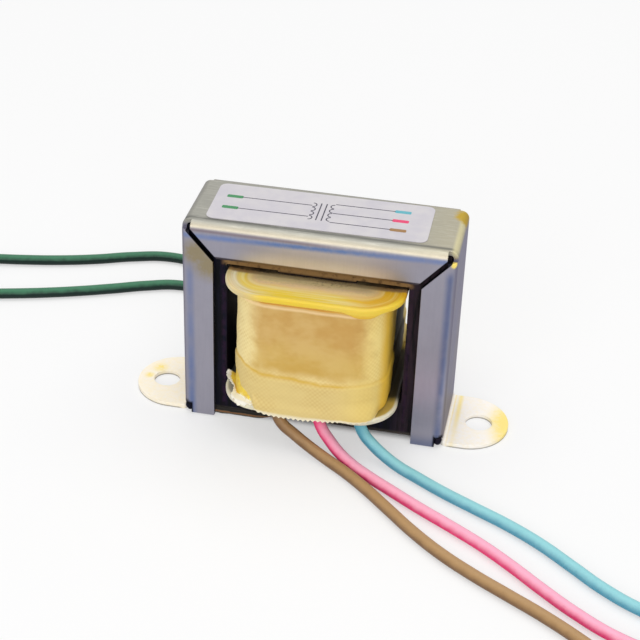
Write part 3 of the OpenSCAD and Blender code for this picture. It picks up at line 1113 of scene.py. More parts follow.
@dataclass
class Studio:
    """A pale floor, a pale world and soft lamps. Its sizes are metres, but the gap's are millimetres."""

    floor_radius: float = 4.0
    floor_sides: int = 64
    rim_width: float = 0.8
    rim_drop: float = 0.08
    floor_white: float = 0.92
    floor_glow: float = 0.5
    white_from: float = 0.9
    world_light: float = 0.45
    gap_x: Pair = (22.0, 26.0)
    gap_y: Pair = (5.8, 8.4)
    lamps: tuple[Softbox, ...] = (
        Softbox("overhead_lamp", (0.03, 0.10, 0.80), (0.0, 0.0, 0.02), (0.95, 0.95), 4.0),
        Softbox("front_lamp", (0.05, -0.85, 0.50), (0.0, 0.0, 0.02), (1.1, 0.5), 4.0),
    )

    def build(self) -> None:
        """Adds the floor, the world and the lamps."""
        self.floor()
        self.world()
        for lamp in self.lamps:
            lamp.build()
        bpy.context.scene.view_settings.view_transform = "Standard"

    @staticmethod
    def seen(shader: Shader) -> Socket:
        """1 for the rays that show a surface or its mirror image, and 0 for those that light it."""
        rays = ("Is Camera Ray", "Is Glossy Ray", "Is Transmission Ray")
        return reduce(Socket.most, (shader.node("ShaderNodeLightPath", output=ray) for ray in rays))

    def floor(self) -> None:
        """Lays a round, pale floor with a rim that turns down, dark in the gap under the core."""
        floor = Piece.add(
            "studio_floor",
            bpy.ops.mesh.primitive_circle_add,
            vertices=self.floor_sides,
            radius=self.floor_radius,
            fill_type="NGON",
        )
        floor.edit()
        floor.pick(Pick.FACE, lambda face: True)
        bpy.ops.mesh.inset(thickness=self.rim_width)
        floor.pick(Pick.VERT, lambda vert: vert.co.length > self.floor_radius - self.rim_width / 2)
        bpy.ops.transform.translate(value=(0.0, 0.0, -self.rim_drop))
        floor.leave()
        shader = Shader("studio_floor")
        white = (*[self.floor_white] * 3, 1.0)
        cloth = shader.node("ShaderNodeBsdfDiffuse", {}, {"Color": white})
        glow = shader.node("ShaderNodeEmission", {}, {"Color": WHITE, "Strength": 1.0})
        x, y, _ = at = shader.place()
        near = shader.spots(at, ((0.0, 0.0, 0.0), self.white_from / MM))
        gap = (1 - abs(x).rise(*self.gap_x)) * (1 - abs(y).rise(*self.gap_y))
        share = self.seen(shader) * (1 - near * (1 - self.floor_glow)) * (1 - gap)
        surface = shader.node("ShaderNodeMixShader", {}, {0: share, 1: cloth, 2: glow})
        shader.node("ShaderNodeOutputMaterial", {}, {"Surface": surface})
        floor.object.data.materials.append(shader.owner)

    def world(self) -> None:
        """Sets a white world that lights the scene less than it shows."""
        shader = Shader("studio_world", world=True)
        bpy.context.scene.world = shader.owner
        strength = self.seen(shader) * (1.0 - self.world_light) + self.world_light
        sky = shader.node("ShaderNodeBackground", {}, {"Color": WHITE, "Strength": strength})
        shader.node("ShaderNodeOutputWorld", {}, {"Surface": sky})


@dataclass
class TinnedEnd:
    """A stripped lead end of seven twisted wires, laid along +X from the origin."""

    length: float = 7.0
    wire: float = 0.33
    turns: float = 1.4
    outer_wires: int = 6
    sides: int = 8
    steps: int = 30
    smooth_to: float = 50.0

    def build(self) -> Piece:
        """Models one end, to be copied.

        Returns:
            The end.
        """
        section = {"vertices": self.sides, "radius": self.wire / 2 * MM, "rotation": (0.0, math.pi / 2, 0.0)}
        aside = (0.0, self.wire * MM, 0.0)
        piece = Piece.add("tinned_end", bpy.ops.mesh.primitive_circle_add, location=aside, **section)
        piece.apply()
        piece.modify(
            "SCREW",
            axis="X",
            angle=self.turns * 2 * math.pi,
            screw_offset=self.length * MM,
            steps=self.steps,
            render_steps=self.steps,
        )
        piece.edit()
        for end in (0.0, self.length * MM):
            piece.pick(Pick.EDGE, lambda edge: all(abs(v.co.x - end) < TOUCH for v in edge.verts))
            bpy.ops.mesh.edge_face_add()
        bpy.ops.mesh.select_all(action="SELECT")
        turn = 2 * math.pi / self.outer_wires
        for _ in range(self.outer_wires - 1):
            bpy.ops.mesh.duplicate()
            bpy.ops.transform.rotate(value=turn, orient_axis="X", center_override=(0.0, 0.0, 0.0))
        middle = (self.length / 2 * MM, 0.0, 0.0)
        bpy.ops.mesh.primitive_cylinder_add(depth=self.length * MM, location=middle, **section)
        piece.face_out()
        piece.smooth(self.smooth_to)
        return piece


@dataclass
class Lead:
    """One loose, insulated lead with its stripped end.

    The route repeats the solid's. A point that lies on the floor leaves its height out.
    """

    name: str
    slot: str
    finish: LeadInsulation
    length: float
    route: Sequence[Sequence[float]]
    diameter: float = 2.2
    lying: float = 1.15
    plunge: float = 0.6
    resolution: int = 10
    sides: int = 6

    @property
    def points(self) -> list[Vector]:
        """The route's points, in metres."""
        return [Vector((*point, self.lying)[:3]) * MM for point in self.route]

    def build(self, end: Piece, tin: Material) -> None:
        """Lays the lead along its route and puts a copy of the stripped end on it.

        Args:
            end: The modelled end, along +X from the origin.
            tin: The finish of the end.
        """
        tip = self.tip(end)
        tip.settle(tin, "tinned_strand", f"end_{self.name}")
        wire = bpy.data.objects.new(f"wire_{self.name}", self.curve())
        bpy.context.scene.collection.objects.link(wire)
        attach(wire, BODY)
        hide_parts(f"lead_{self.name}")
        LOG.info("wire_%s: %.1f mm", self.name, self.length)

    def curve(self) -> bpy.types.Curve:
        """Draws the route as a round, capped wire that starts straight down.

        Returns:
            The wire.
        """
        line = bpy.data.curves.new(f"wire_{self.name}", "CURVE")
        line.dimensions = "3D"
        line.resolution_u = self.resolution
        line.bevel_depth = self.diameter / 2 * MM
        line.bevel_resolution = self.sides
        line.use_fill_caps = True
        line.materials.append(self.finish.make())
        knots = line.splines.new("BEZIER").bezier_points
        knots.add(len(self.route) - 1)
        for knot, point in zip(knots, self.points):
            knot.co = point
            knot.handle_left_type = knot.handle_right_type = "AUTO"
        start = knots[0]
        down = Vector((0.0, 0.0, self.plunge * MM))
        start.handle_left_type = start.handle_right_type = "FREE"
        start.handle_left = start.co + down
        start.handle_right = start.co - down
        return line

    def tip(self, end: Piece) -> Piece:
        """Copies the stripped end to the end of the route.

        Args:
            end: The modelled end.

        Returns:
            The copy.
        """
        end.wake()
        bpy.ops.object.duplicate(linked=False)
        tip = Piece(bpy.context.object, f"tinned_{self.name}")
        before, last = self.points[-2:]
        along = last - before
        tip.object.rotation_euler = (0.0, 0.0, math.atan2(along.y, along.x))
        tip.object.location = last
        tip.apply()
        return tip


@dataclass
class Leads:
    """The five loose leads."""

    leads: tuple[Lead, ...] = (
        Lead("brown", "brown_lead", LeadInsulation("brown_lead", "#7A5A3C", "#B38F63"), 90.9, (
            (-6.1, -13.8, 8.75), (-5.8, -14, 6.9), (-4.5, -14.6, 4.9), (-2.1, -15.4, 3.5), (1, -16.7, 2.2),
            (5, -18.9, 1.35), (9.2, -21.8), (13.4, -25.4), (18.4, -30.2), (23.6, -35.2), (29.2, -39.8),
            (35.2, -43.8), (41.4, -47.4), (47.6, -51), (53.6, -55), (59.4, -59.4), (65, -64),
        )),
        Lead("red", "red_lead", LeadInsulation("red_lead", "#EC2C74", "#FFB2CA"), 87.9, (
            (1.9, -13.8, 8.75), (2.2, -14, 6.8), (3.1, -14.6, 5), (4.8, -15.7, 3.4), (6.8, -17.1, 2.1),
            (9.6, -19.1, 1.3), (12.8, -21.4), (17.9, -24.8), (23.8, -28.6), (29.8, -32.2), (35.8, -36),
            (41.4, -40.2), (47, -44.8), (52.8, -49.2), (59, -53), (65.8, -55.6), (73.2, -57.4),
        )),
        Lead("blue", "blue_lead", LeadInsulation("blue_lead", "#4C9CB4", "#94D3D9"), 87.9, (
            (9.8, -13.8, 8.75), (10, -14, 7), (11, -14.5, 5.1), (12.8, -15.3, 3.6), (15.1, -16.3, 2.3),
            (18.2, -17.9, 1.4), (22, -20), (27.4, -23.2), (33.6, -26.4), (39.8, -29.6), (45.8, -33.4),
            (51.4, -37.8), (57, -42.2), (63.2, -45.8), (70, -48.2), (77, -49.6), (84.4, -50.6),
        )),
        Lead("green_near", "green_lead", LeadInsulation("green_lead", "#03201A", "#3C7858", 0.1), 91.3, (
            (-8.1, 13.8, 8.75), (-8.3, 14, 7), (-9.1, 14.7, 5.1), (-10.6, 15.8, 3.5), (-12.9, 17.8, 2.2),
            (-16, 20.8, 1.35), (-20, 24.8), (-25.2, 29.8), (-31.6, 33), (-38.6, 33.8), (-45, 31.9),
            (-51.2, 29.2), (-58, 26.4), (-65, 23.9), (-72, 21.8), (-79, 20), (-86, 18.6),
        )),
        Lead("green_far", "green_lead", LeadInsulation("far_green_lead", "#032019", "#3C7657", 0.15), 98.4, (
            (0, 13.8, 8.75), (-0.2, 14, 7), (-1, 14.7, 5.1), (-2.4, 15.9, 3.5), (-4.7, 18.2, 2.2),
            (-8, 21.4, 1.35), (-12.2, 25.6), (-17.4, 31), (-23, 36), (-29.4, 40.6), (-36.6, 43.8),
            (-44.2, 44.8), (-51.6, 42.9), (-58.8, 40), (-66.4, 37.6), (-74.2, 35.8), (-82, 34.4),
        )),
    )

    def build(self) -> None:
        """Lays all five leads."""
        tin = TinnedCopper().make()
        end = TinnedEnd().build()
        for lead in self.leads:
            lead.build(end, tin)
        bpy.data.objects.remove(end.object)


@dataclass
class PackedSolids:
    """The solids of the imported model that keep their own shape."""

    finishes: tuple[tuple[Any, tuple[str, ...]], ...] = (
        (EnamelledWire(), ("primary_winding", "secondary_winding")),
        (InsulationPaper("splice_sleeve", "#E6DCB4", "#CDBE8C"), ("front_splices", "rear_splices")),
        (CoreSteel(), ("e_laminations", "i_laminations")),
        (InsulationPaper(), ("winding_insulation",)),
        (LabelPaper(), ("label",)),
    )

    def build(self) -> None:
        """Gives each solid its finish."""
        for finish, nodes in self.finishes:
            material = finish.make()
            for node in nodes:
                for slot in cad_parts[node].material_slots:
                    slot.material = material
                LOG.info("%s: dressed with %s", node, material.name)


@dataclass
class NotchShadeBeads:
    """Dark beads put in the notches above the feet's bends as painted shade."""

    # A near-black finish for the painted shade in the notches.
    finish: CoreSteel = CoreSteel("dipping_varnish", navy="#0A0D2A", dust_and_bounce_light="#070A1E")
    at: Point = (24.1, 8.2, 1.35)
    size: Point = (0.8, 0.62, 0.95)
    lump: float = 0.22
    lump_pitch: float = 1.4
    detail: int = 4
    smooth_to: float = 70.0

    def build(self) -> None:
        """Models one uneven bead for each of the four notches."""
        material = self.finish.make()
        ball = {"subdivisions": self.detail, "radius": MM}
        for index, (side, end) in enumerate(((-1, -1), (1, -1), (-1, 1), (1, 1))):
            middle = Vector((side * self.at[0], end * self.at[1], self.at[2]))
            bead = Piece.add(f"varnish_bead_{index + 1}", bpy.ops.mesh.primitive_ico_sphere_add, **ball)
            bead.sculpt(lambda at: self.sag(at, middle))
            bead.smooth(self.smooth_to)
            bead.settle(material, "core_steel")

    def sag(self, at: Vector, middle: Vector) -> Vector:
        """Makes a ball long and lumpy and puts it in its notch."""
        lumpy = 1 + self.lump * noise.noise(at * self.lump_pitch + middle)
        return middle + Vector([part * size for part, size in zip(at, self.size)]) * lumpy


@dataclass
class DarkEdgeRun:
    """A dark run with an amber line along the core's lower front edge, left of the leads."""

    finish: DarkEdgeFinish = DarkEdgeFinish()
    left: float = -24.0
    right: float = -7.5
    middle_y: float = -7.95
    middle_z: float = 1.05
    deep: float = 0.36
    high: float = 0.78
    left_taper: float = 0.05
    right_taper: float = 0.2
    lump: float = 0.16
    segments: int = 24
    rings: int = 120
    smooth_to: float = 70.0

    def build(self) -> None:
        """Stretches a ball into a long, uneven run with tapered ends."""
        ball = {"segments": self.segments, "ring_count": self.rings, "radius": MM}
        run = Piece.add("varnish_run", bpy.ops.mesh.primitive_uv_sphere_add, **ball)
        run.sculpt(self.stretch)
        run.smooth(self.smooth_to)
        run.settle(self.finish.make(), "core_steel")

    def stretch(self, at: Vector) -> Vector:
        """Lays a point of the ball along the edge.

        Args:
            at: A point of the ball, whose poles are the run's ends.

        Returns:
            Its place on the run.
        """
        part = math.acos(max(-1.0, min(1.0, at.z))) / math.pi
        girth = ease(part, 0.0, self.left_taper) * (1 - ease(part, 1 - self.right_taper, 1.0))
        across = math.hypot(at.x, at.y) or 1.0
        x = self.left + (self.right - self.left) * part
        uneven = girth * (1 + self.lump * noise.noise(Vector((x * 0.7, at.x, 3.0))))
        y = self.middle_y - self.deep * uneven * at.x / across
        return Vector((x, y, self.middle_z + self.high * uneven * at.y / across))


@dataclass
class Bracket:
    """The folded channel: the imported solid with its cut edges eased."""

    finish: PlatedSteel = PlatedSteel()
    edge: float = 0.07
    flat_angle: float = 0.5
    edge_angle: float = 40.0
    smooth_to: float = 35.0
    weld: float = 0.001

    def build(self) -> None:
        """Copies the solid, merges it and eases its edges."""
        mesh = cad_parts["channel_bracket"].data.copy()
        piece = Piece(bpy.data.objects.new("bracket", mesh), "bracket")
        bpy.context.scene.collection.objects.link(piece.object)
        piece.edit(whole=True)
        bpy.ops.mesh.remove_doubles(threshold=self.weld * MM)
        bpy.ops.mesh.dissolve_limited(angle_limit=math.radians(self.flat_angle))
        piece.leave()
        piece.modify(
            "BEVEL",
            width=self.edge * MM,
            segments=2,
            limit_method="ANGLE",
            angle_limit=math.radians(self.edge_angle),
            use_clamp_overlap=False,
        )
        piece.smooth(self.smooth_to)
        piece.modify("WEIGHTED_NORMAL", keep_sharp=True)
        piece.settle(self.finish.make(), "plated_steel", "channel_bracket")


@dataclass
class Bobbin:
    """The moulding that carries the coil: a square tube with two soft-edged flanges."""

    finish: BobbinNylon = BobbinNylon()
    flange: float = 1.1
    corner: float = 7.2
    corner_segments: int = 18
    front_cuts: int = 29
    tube: Pair = (8.1, 8.94)
    bore: Pair = (7.3, 8.14)
    tube_corner: float = 1.0
    rim: float = 0.32
    hole: float = 2.4
    hole_sides: int = 24
    holes: Knots = ((-6.1, -13.88), (1.85, -13.88), (9.8, -13.88), (-8.1, 13.88), (0.0, 13.88))
    steps: Knots = ((0.85, 0.0), (0.2, -0.1), (0.85, 0.0), (0.2, -0.06), (0.95, 0.0), (0.2, -0.05))
    weld: float = 0.002
    smooth_to: float = 50.0
    upper_from: Pair = (30.0, 31.0)
    wave: float = 0.06
    wave_pitch: float = 0.3
    wave_from: Pair = (10.0, 15.0)
    hang: float = 0.75
    hang_front: Pair = (15.6, 16.9)
    hang_right: Pair = (6.2, 9.2)
    hang_less: Pair = (12.0, 15.5)
    hang_under: Pair = (0.75, 0.1)
    hang_lean: float = 0.05
    hang_sink: float = 0.12
    spread: float = 0.38
    spread_right: Pair = (12.0, 16.0)

    def build(self) -> None:
        """Models the two flanges and the tube and makes them one moulding."""
        low, high = (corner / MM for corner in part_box("bobbin"))
        half = self.flange / 2
        moulding = Piece.pillar("bobbin_moulding", self.tube, low.z + half, high.z - half)
        moulding.edit()
        moulding.pick(Pick.EDGE, upright)
        bpy.ops.mesh.bevel(offset=self.tube_corner * MM, segments=4)
        moulding.leave()
        for name, z in (("lower_flange", low.z), ("upper_flange", high.z - self.flange)):
            plate = self.plate(name, Vector((low.x, low.y, z)), Vector((high.x, high.y, z + self.flange)))
            moulding.carve(plate, Carve.ADD)
        moulding.carve(Piece.pillar("bore", self.bore, low.z - 1, high.z + 1), Carve.CUT)
        drill = {"vertices": self.hole_sides, "radius": self.hole / 2 * MM, "depth": 3 * self.flange * MM}
        for x, y in self.holes:
            at = (x * MM, y * MM, low.z * MM)
            tool = Piece.add("drill", bpy.ops.mesh.primitive_cylinder_add, location=at, **drill)
            tool.apply()
            moulding.carve(tool, Carve.CUT)
        moulding.edit(whole=True)
        bpy.ops.mesh.remove_doubles(threshold=self.weld * MM)
        bpy.ops.mesh.dissolve_degenerate(threshold=self.weld / 2 * MM)
        moulding.face_out()
        moulding.sculpt(lambda at: self.droop(at, high.z))
        moulding.smooth(self.smooth_to)
        moulding.settle(self.finish.make(), "bobbin", "bobbin")

    def droop(self, at: Vector, top: float) -> Vector:
        """Waves the rims a little and hangs the upper one's front right side.

        Args:
            at: A point of the moulding.
            top: The height of its top.

        Returns:
            Where the point goes.
        """
        upper = ease(at.z, *self.upper_from)
        wavy = self.wave * noise.noise(at * self.wave_pitch) * ease(abs(at.y), *self.wave_from)
        hang = self.hang * ease(-at.y, *self.hang_front) * ease(at.x, *self.hang_right)
        hang *= 1 - 0.5 * ease(at.x, *self.hang_less)
        under = upper * (1 - ease(at.z, top - self.hang_under[0], top - self.hang_under[1]))
        spread = self.spread * ease(at.x, *self.spread_right) * upper
        return at + Vector((spread, -self.hang_lean * hang, wavy - (under + self.hang_sink) * hang))

    def plate(self, name: str, low: Vector, high: Vector) -> Piece:
        """Models one flange with soft edges and shallow steps.

        Args:
            name: The piece's name.
            low: Its lowest corner.
            high: Its highest corner.

        Returns:
            The flange.
        """
        piece = Piece.box(name, low, high)
        piece.edit()
        piece.pick(Pick.EDGE, upright)
        bpy.ops.mesh.bevel(offset=self.corner * MM, segments=self.corner_segments)
        piece.pick(Pick.EDGE, lambda edge: abs(edge.verts[0].co.x - edge.verts[1].co.x) > 8 * MM)
        bpy.ops.mesh.subdivide(number_cuts=self.front_cuts)
        piece.pick(Pick.FACE, lambda face: face.normal.z > 0.9)
        for width, depth in self.steps:
            bpy.ops.mesh.inset(thickness=width * MM, depth=depth * MM)
        outline = (low.z * MM, high.z * MM)
        piece.pick(
            Pick.EDGE,
            lambda edge: any(all(abs(v.co.z - z) < TOUCH for v in edge.verts) for z in outline)
            and any(abs(face.normal.z) < 0.1 for face in edge.link_faces),
        )
        bpy.ops.mesh.bevel(offset=self.rim * MM, segments=3)
        piece.leave()
        return piece


@dataclass
class TapeWrap:
    """A band of tape round the coil, as a rounded rectangle that is cut into rows and columns."""

    half_x: float
    half_y: float
    corner: float
    low: float
    high: float
    rows: int
    front_cuts: int = 61
    side_cuts: int = 41
    bends: int = 14
    bend_cuts: int = 3
    bulge: float = 0.22
    bulge_foot: float = 9.85
    bulge_height: float = 22.7
    bulge_reach: float = 1.1
    bulge_from: Pair = (9.0, 13.0)
    ripple: float = 0.1
    ripple_pitch: Pair = (0.12, 0.45)
    smooth_to: float = 60.0

    @property
    def flat(self) -> Pair:
        """Half the straight stretch of the front and half that of a side."""
        return self.half_x - self.corner, self.half_y - self.corner

    def start(self, name: str) -> Piece:
        """Models the plain band.

        Args:
            name: The piece's name.

        Returns:
            The band, one face thick.
        """
        piece = Piece.pillar(name, (self.half_x, self.half_y), self.low, self.high)
        piece.edit()
        piece.pick(Pick.FACE, lambda face: abs(face.normal.z) > 0.9)
        bpy.ops.mesh.delete(type="ONLY_FACE")
        piece.pick(Pick.EDGE, upright)
        bpy.ops.mesh.bevel(offset=self.corner * MM, segments=self.bends)
        for axis, cuts in enumerate((self.front_cuts, self.side_cuts)):
            long = 1.9 * self.flat[axis] * MM
            piece.pick(Pick.EDGE, lambda edge: abs(edge.verts[0].co[axis] - edge.verts[1].co[axis]) > long)
            bpy.ops.mesh.subdivide(number_cuts=cuts)
        arc = math.pi / 2 * self.corner / self.bends
        piece.pick(Pick.EDGE, lambda edge: not upright(edge) and edge.calc_length() > 0.8 * arc * MM)
        bpy.ops.mesh.subdivide(number_cuts=self.bend_cuts)
        piece.pick(Pick.EDGE, upright)
        bpy.ops.mesh.subdivide(number_cuts=self.rows - 1)
        piece.leave()
        return piece

    def along(self, at: Vector) -> float:
        """Measures round the band from the middle of the front.

        Args:
            at: A point of the band.

        Returns:
            Its distance, without its side.
        """
        x, y = abs(at.x), at.y
        flat_x, flat_y = self.flat
        quarter = math.pi / 2 * self.corner
        if x <= flat_x:
            return x if y < 0 else 2 * (flat_x + quarter + flat_y) - x
        if abs(y) <= flat_y:
            return flat_x + quarter + y + flat_y
        turn = math.atan2(x - flat_x, abs(y) - flat_y) * self.corner
        return flat_x + turn if y < 0 else flat_x + 2 * (quarter + flat_y) - turn

    def around(self, at: Vector) -> float:
        """The distance round the band to a point, which is less than 0 on the left."""
        return math.copysign(self.along(at), at.x)

    def outward(self, at: Vector) -> Vector:
        """The direction straight out of the band at a point."""
        past = [math.copysign(max(0.0, abs(v) - flat), v) for v, flat in zip(at, self.flat)]
        return Vector((*past, 0.0)).normalized()

    def slack(self, at: Vector, z: float) -> float:
        """Says how far the cloth bulges and ripples off the coil.

        Args:
            at: A point of the plain band.
            z: The height that it goes to.

        Returns:
            Millimetres outward.
        """
        share = min(1.0, max(0.0, (z - self.bulge_foot) / self.bulge_height) * self.bulge_reach)
        bulge = self.bulge * math.sin(math.pi * share) * ease(abs(at.y), *self.bulge_from)
        level, rise = self.ripple_pitch
        return bulge + self.ripple * noise.noise(Vector((at.x * level, at.y * level, z * rise)))

    def map_weave(self, piece: Piece) -> None:
        """Lays the weave's own coordinates on the band, in millimetres.

        Args:
            piece: The band.
        """
        mesh = piece.object.data
        for old in list(mesh.uv_layers):
            mesh.uv_layers.remove(old)
        layer = mesh.uv_layers.new(name=WEAVE)
        for face in mesh.polygons:
            side = math.copysign(1.0, face.center.x)
            for loop in face.loop_indices:
                at = mesh.vertices[mesh.loops[loop].vertex_index].co / MM
                layer.data[loop].uv = (side * self.along(at), at.z)

    def close(self, piece: Piece, thickness: float, finish: WovenTape, node: str) -> None:
        """Gives the cloth its thickness and fixes it.

        Args:
            piece: The band.
            thickness: How thick it is, inward.
            finish: Its finish.
            node: The solid that it stands for, which has a material slot of the same name.
        """
        piece.modify("SOLIDIFY", thickness=thickness * MM, offset=-1.0)
        piece.smooth(self.smooth_to)
        piece.settle(finish.make(), node, node)


@dataclass
class AnchorTape:
    """The lower band of tape, with its upper edge in a slack curve and its selvage over the flange."""

    finish: WovenTape = WovenTape("anchor_tape", cloth="#E0C884", varnished=0.0)
    corner: float = 7.25
    build_out: float = 0.25
    sunk: float = 0.05
    thickness: float = 0.2
    top: float = 18.0
    rows: int = 44
    flange: Pair = (16.5, 17.44)
    rim: float = 10.0
    fold: float = 11.6
    fold_rise: float = 2.0
    fold_right: Pair = (1.0, 8.0)
    stops: tuple[float, ...] = (0.0, 0.55, 0.78, 1.0)
    held_from: Pair = (-10.4, -8.5)
    held_to: Pair = (10.8, 15.0)
    held_behind: Pair = (10.6, 12.0)
    tooth: float = 0.4
    tooth_pitch: float = 0.92
    toothed_from: float = 0.94
    tuck: float = 0.3
    tucked_to: float = 0.13
    wrinkle: float = 0.12
    wrinkle_pitch: Pair = (0.2, 0.9)
    wrinkled_from: float = 0.2
    crease: float = 0.5
    golden_edge: Pair = (0.15, 0.75)
    golden_front: Pair = (8.0, 13.0)
    golden_right: Pair = (5.0, 11.0)
    hem: float = 0.9
    wobble: float = 0.1
    rear_edges: Pair = (17.4, 10.0)
    rear_drop: float = 1.4
    upper_edge: Knots = (
        (-22.0, 17.6), (-15.0, 18.4), (-13.1, 18.4), (-11.3, 17.8), (-9.4, 17.45), (-7.8, 17.1),
        (-5.2, 17.08), (-2.6, 17.05), (0.2, 16.7), (2.9, 16.5), (6.0, 16.6), (9.3, 17.1), (12.1, 17.2),
        (15.0, 17.1), (22.0, 17.3),
    )
    lower_edge: Knots = (
        (-24.0, 12.0), (-19.0, 13.8), (-15.0, 14.8), (-13.7, 14.4), (-13.05, 12.5), (-12.2, 12.2),
        (-11.2, 11.9), (-10.7, 11.1), (-10.2, 10.2), (-9.4, 9.6), (-8.6, 9.2), (-6.6, 8.6), (-4.3, 8.45),
        (-0.5, 8.45), (3.2, 8.8), (8.7, 9.5), (11.5, 9.9), (14.4, 10.1), (22.0, 10.0),
    )

    def build(self) -> None:
        """Models the band, its flare and its toothed selvage."""
        low, high = (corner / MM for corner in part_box("coil_tape"))
        half_x, half_y = high.x + self.build_out, high.y + self.build_out
        wrap = TapeWrap(half_x, half_y, self.corner, low.z, self.top, self.rows)
        piece = wrap.start("anchor_wrap")
        piece.mark(BORDER, lambda at: self.tone(wrap, at))
        piece.sculpt(lambda at: self.drape(wrap, at))
        wrap.map_weave(piece)
        wrap.close(piece, self.thickness, self.finish, "anchor_tape")

    def drape(self, wrap: TapeWrap, at: Vector) -> Vector:
        """Curves the upper edge, flares the lower one over the flange and cuts its teeth.

        Args:
            wrap: The plain band.
            at: A point of it.

        Returns:
            Where the point goes.
        """
        share = 1 - (at.z - wrap.low) / (wrap.high - wrap.low)
        around = wrap.around(at)
        held = self.held(at, around)
        away = wrap.outward(at)
        reach = abs(away.x) * (self.flange[0] - wrap.half_x) + abs(away.y) * (self.flange[1] - wrap.half_y)
        top, bottom = self.ends(at, around)
        fold = self.fold + self.fold_rise * ease(around, *self.fold_right)
        free = [(0.0, top + (bottom - top) * part) for part in self.stops]
        over = [(0.0, top), (0.0, fold), (reach, self.rim), (reach, bottom)]
        out, z = self.follow([Vector(a).lerp(Vector(b), held) for a, b in zip(free, over)], share)
        tuck = self.tuck * (1 - ease(share, 0.0, self.tucked_to))
        level, rise = self.wrinkle_pitch
        wrinkle = self.wrinkle * noise.noise(Vector((at.x * level, at.y * level, z * rise + 9.0)))
        wrinkle *= ease(share, 0.0, self.wrinkled_from)
        moved = at + away * (out + wrap.slack(at, z) + wrinkle - tuck - self.sunk)
        teeth = abs((around / self.tooth_pitch) % 1.0 * 2 - 1) * ease(share, self.toothed_from, 1.0)
        moved.z = z - self.tooth * teeth * held
        return moved

    def follow(self, path: Sequence[Vector], share: float) -> Vector:
        """Walks a path of three legs, of which the middle one bends out softly.

        Args:
            path: Its four corners, as how far out and how high.
            share: How much of the way is gone.

        Returns:
            The point there.
        """
        legs = zip(self.stops, self.stops[1:], path, path[1:])
        for index, (first, last, start, stop) in enumerate(legs):
            if share <= last:
                part = (share - first) / (last - first)
                bent = ease(part, 0.0, 1.0) if index == 1 else part
                return Vector((start.x + (stop.x - start.x) * bent, start.y + (stop.y - start.y) * part))
        return path[-1]

    def held(self, at: Vector, around: float) -> float:
        """Says how far the band is pulled over the flange.

        Args:
            at: A point of the band.
            around: How far round the band it is.

        Returns:
            1 where it is pulled over and 0 where it stops on top of the flange.
        """
        if at.y < 0:
            return ease(around, *self.held_from) * (1 - ease(around, *self.held_to))
        return ease(at.y, *self.held_behind)

    def ends(self, at: Vector, around: float) -> Pair:
        """Finds the heights of the band's two edges.

        Args:
            at: A point of the band.
            around: How far round the band it is.

        Returns:
            The upper edge's height and the lower one's.
        """
        if at.y > 0:
            upper, lower = self.rear_edges
            return upper, lower - self.rear_drop * ease(at.y, *self.held_behind)
        wobble = self.wobble * noise.noise(Vector((around * 0.5, 0.0, 0.0)))
        return between(self.upper_edge, around) + wobble, between(self.lower_edge, around)

    def tone(self, wrap: TapeWrap, at: Vector) -> float:
        """How golden the upper edge is at a point, and how pale the hem is, which counts below 0."""
        golden = self.golden(at) * (1 - ease(wrap.high - at.z, *self.golden_edge))
        return golden - ease(wrap.low - at.z, -self.hem, 0.0) * self.held(at, wrap.around(at))

    def crept(self, wrap: TapeWrap, at: Vector) -> float:
        """How golden the cloth of another wrap is above this band, where its varnish has crept."""
        top, _ = self.ends(at, wrap.around(at))
        return self.golden(at) * (1 - ease(at.z - top, -0.1, self.crease))

    def golden(self, at: Vector) -> float:
        """How golden the varnish is along the band's upper edge."""
        return ease(-at.y, *self.golden_front) * (1 - 0.6 * ease(at.x, *self.golden_right))


@dataclass
class CoilTape:
    """The woven tape round the windings, drawn in under the upper flange."""

    finish: WovenTape = WovenTape()
    corner: float = 7.0
    thickness: float = 0.5
    rows: int = 60
    neck: float = 0.3
    fine: float = 0.04
    sunk: float = 0.08

    def build(self) -> None:
        """Models the tape with its bulge and its slack folds."""
        low, high = (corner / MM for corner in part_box("coil_tape"))
        wrap = TapeWrap(high.x, high.y, self.corner, low.z, high.z, self.rows)
        band = AnchorTape()
        piece = wrap.start("coil_wrap")
        wrap.map_weave(piece)
        piece.mark(BORDER, lambda at: band.crept(wrap, at))
        piece.sculpt(lambda at: self.drape(wrap, at))
        wrap.close(piece, self.thickness, self.finish, "coil_tape")

    def drape(self, wrap: TapeWrap, at: Vector) -> Vector:
        """Swells the middle, draws in the top and ripples the cloth.

        Args:
            wrap: The plain band.
            at: A point of it.

        Returns:
            Where the point goes.
        """
        neck = self.neck * ease(at.z, wrap.high - 1.1, wrap.high - 0.1)
        fine = self.fine * noise.noise(at * 0.9)
        return at + wrap.outward(at) * (wrap.slack(at, at.z) + fine - neck - self.sunk)


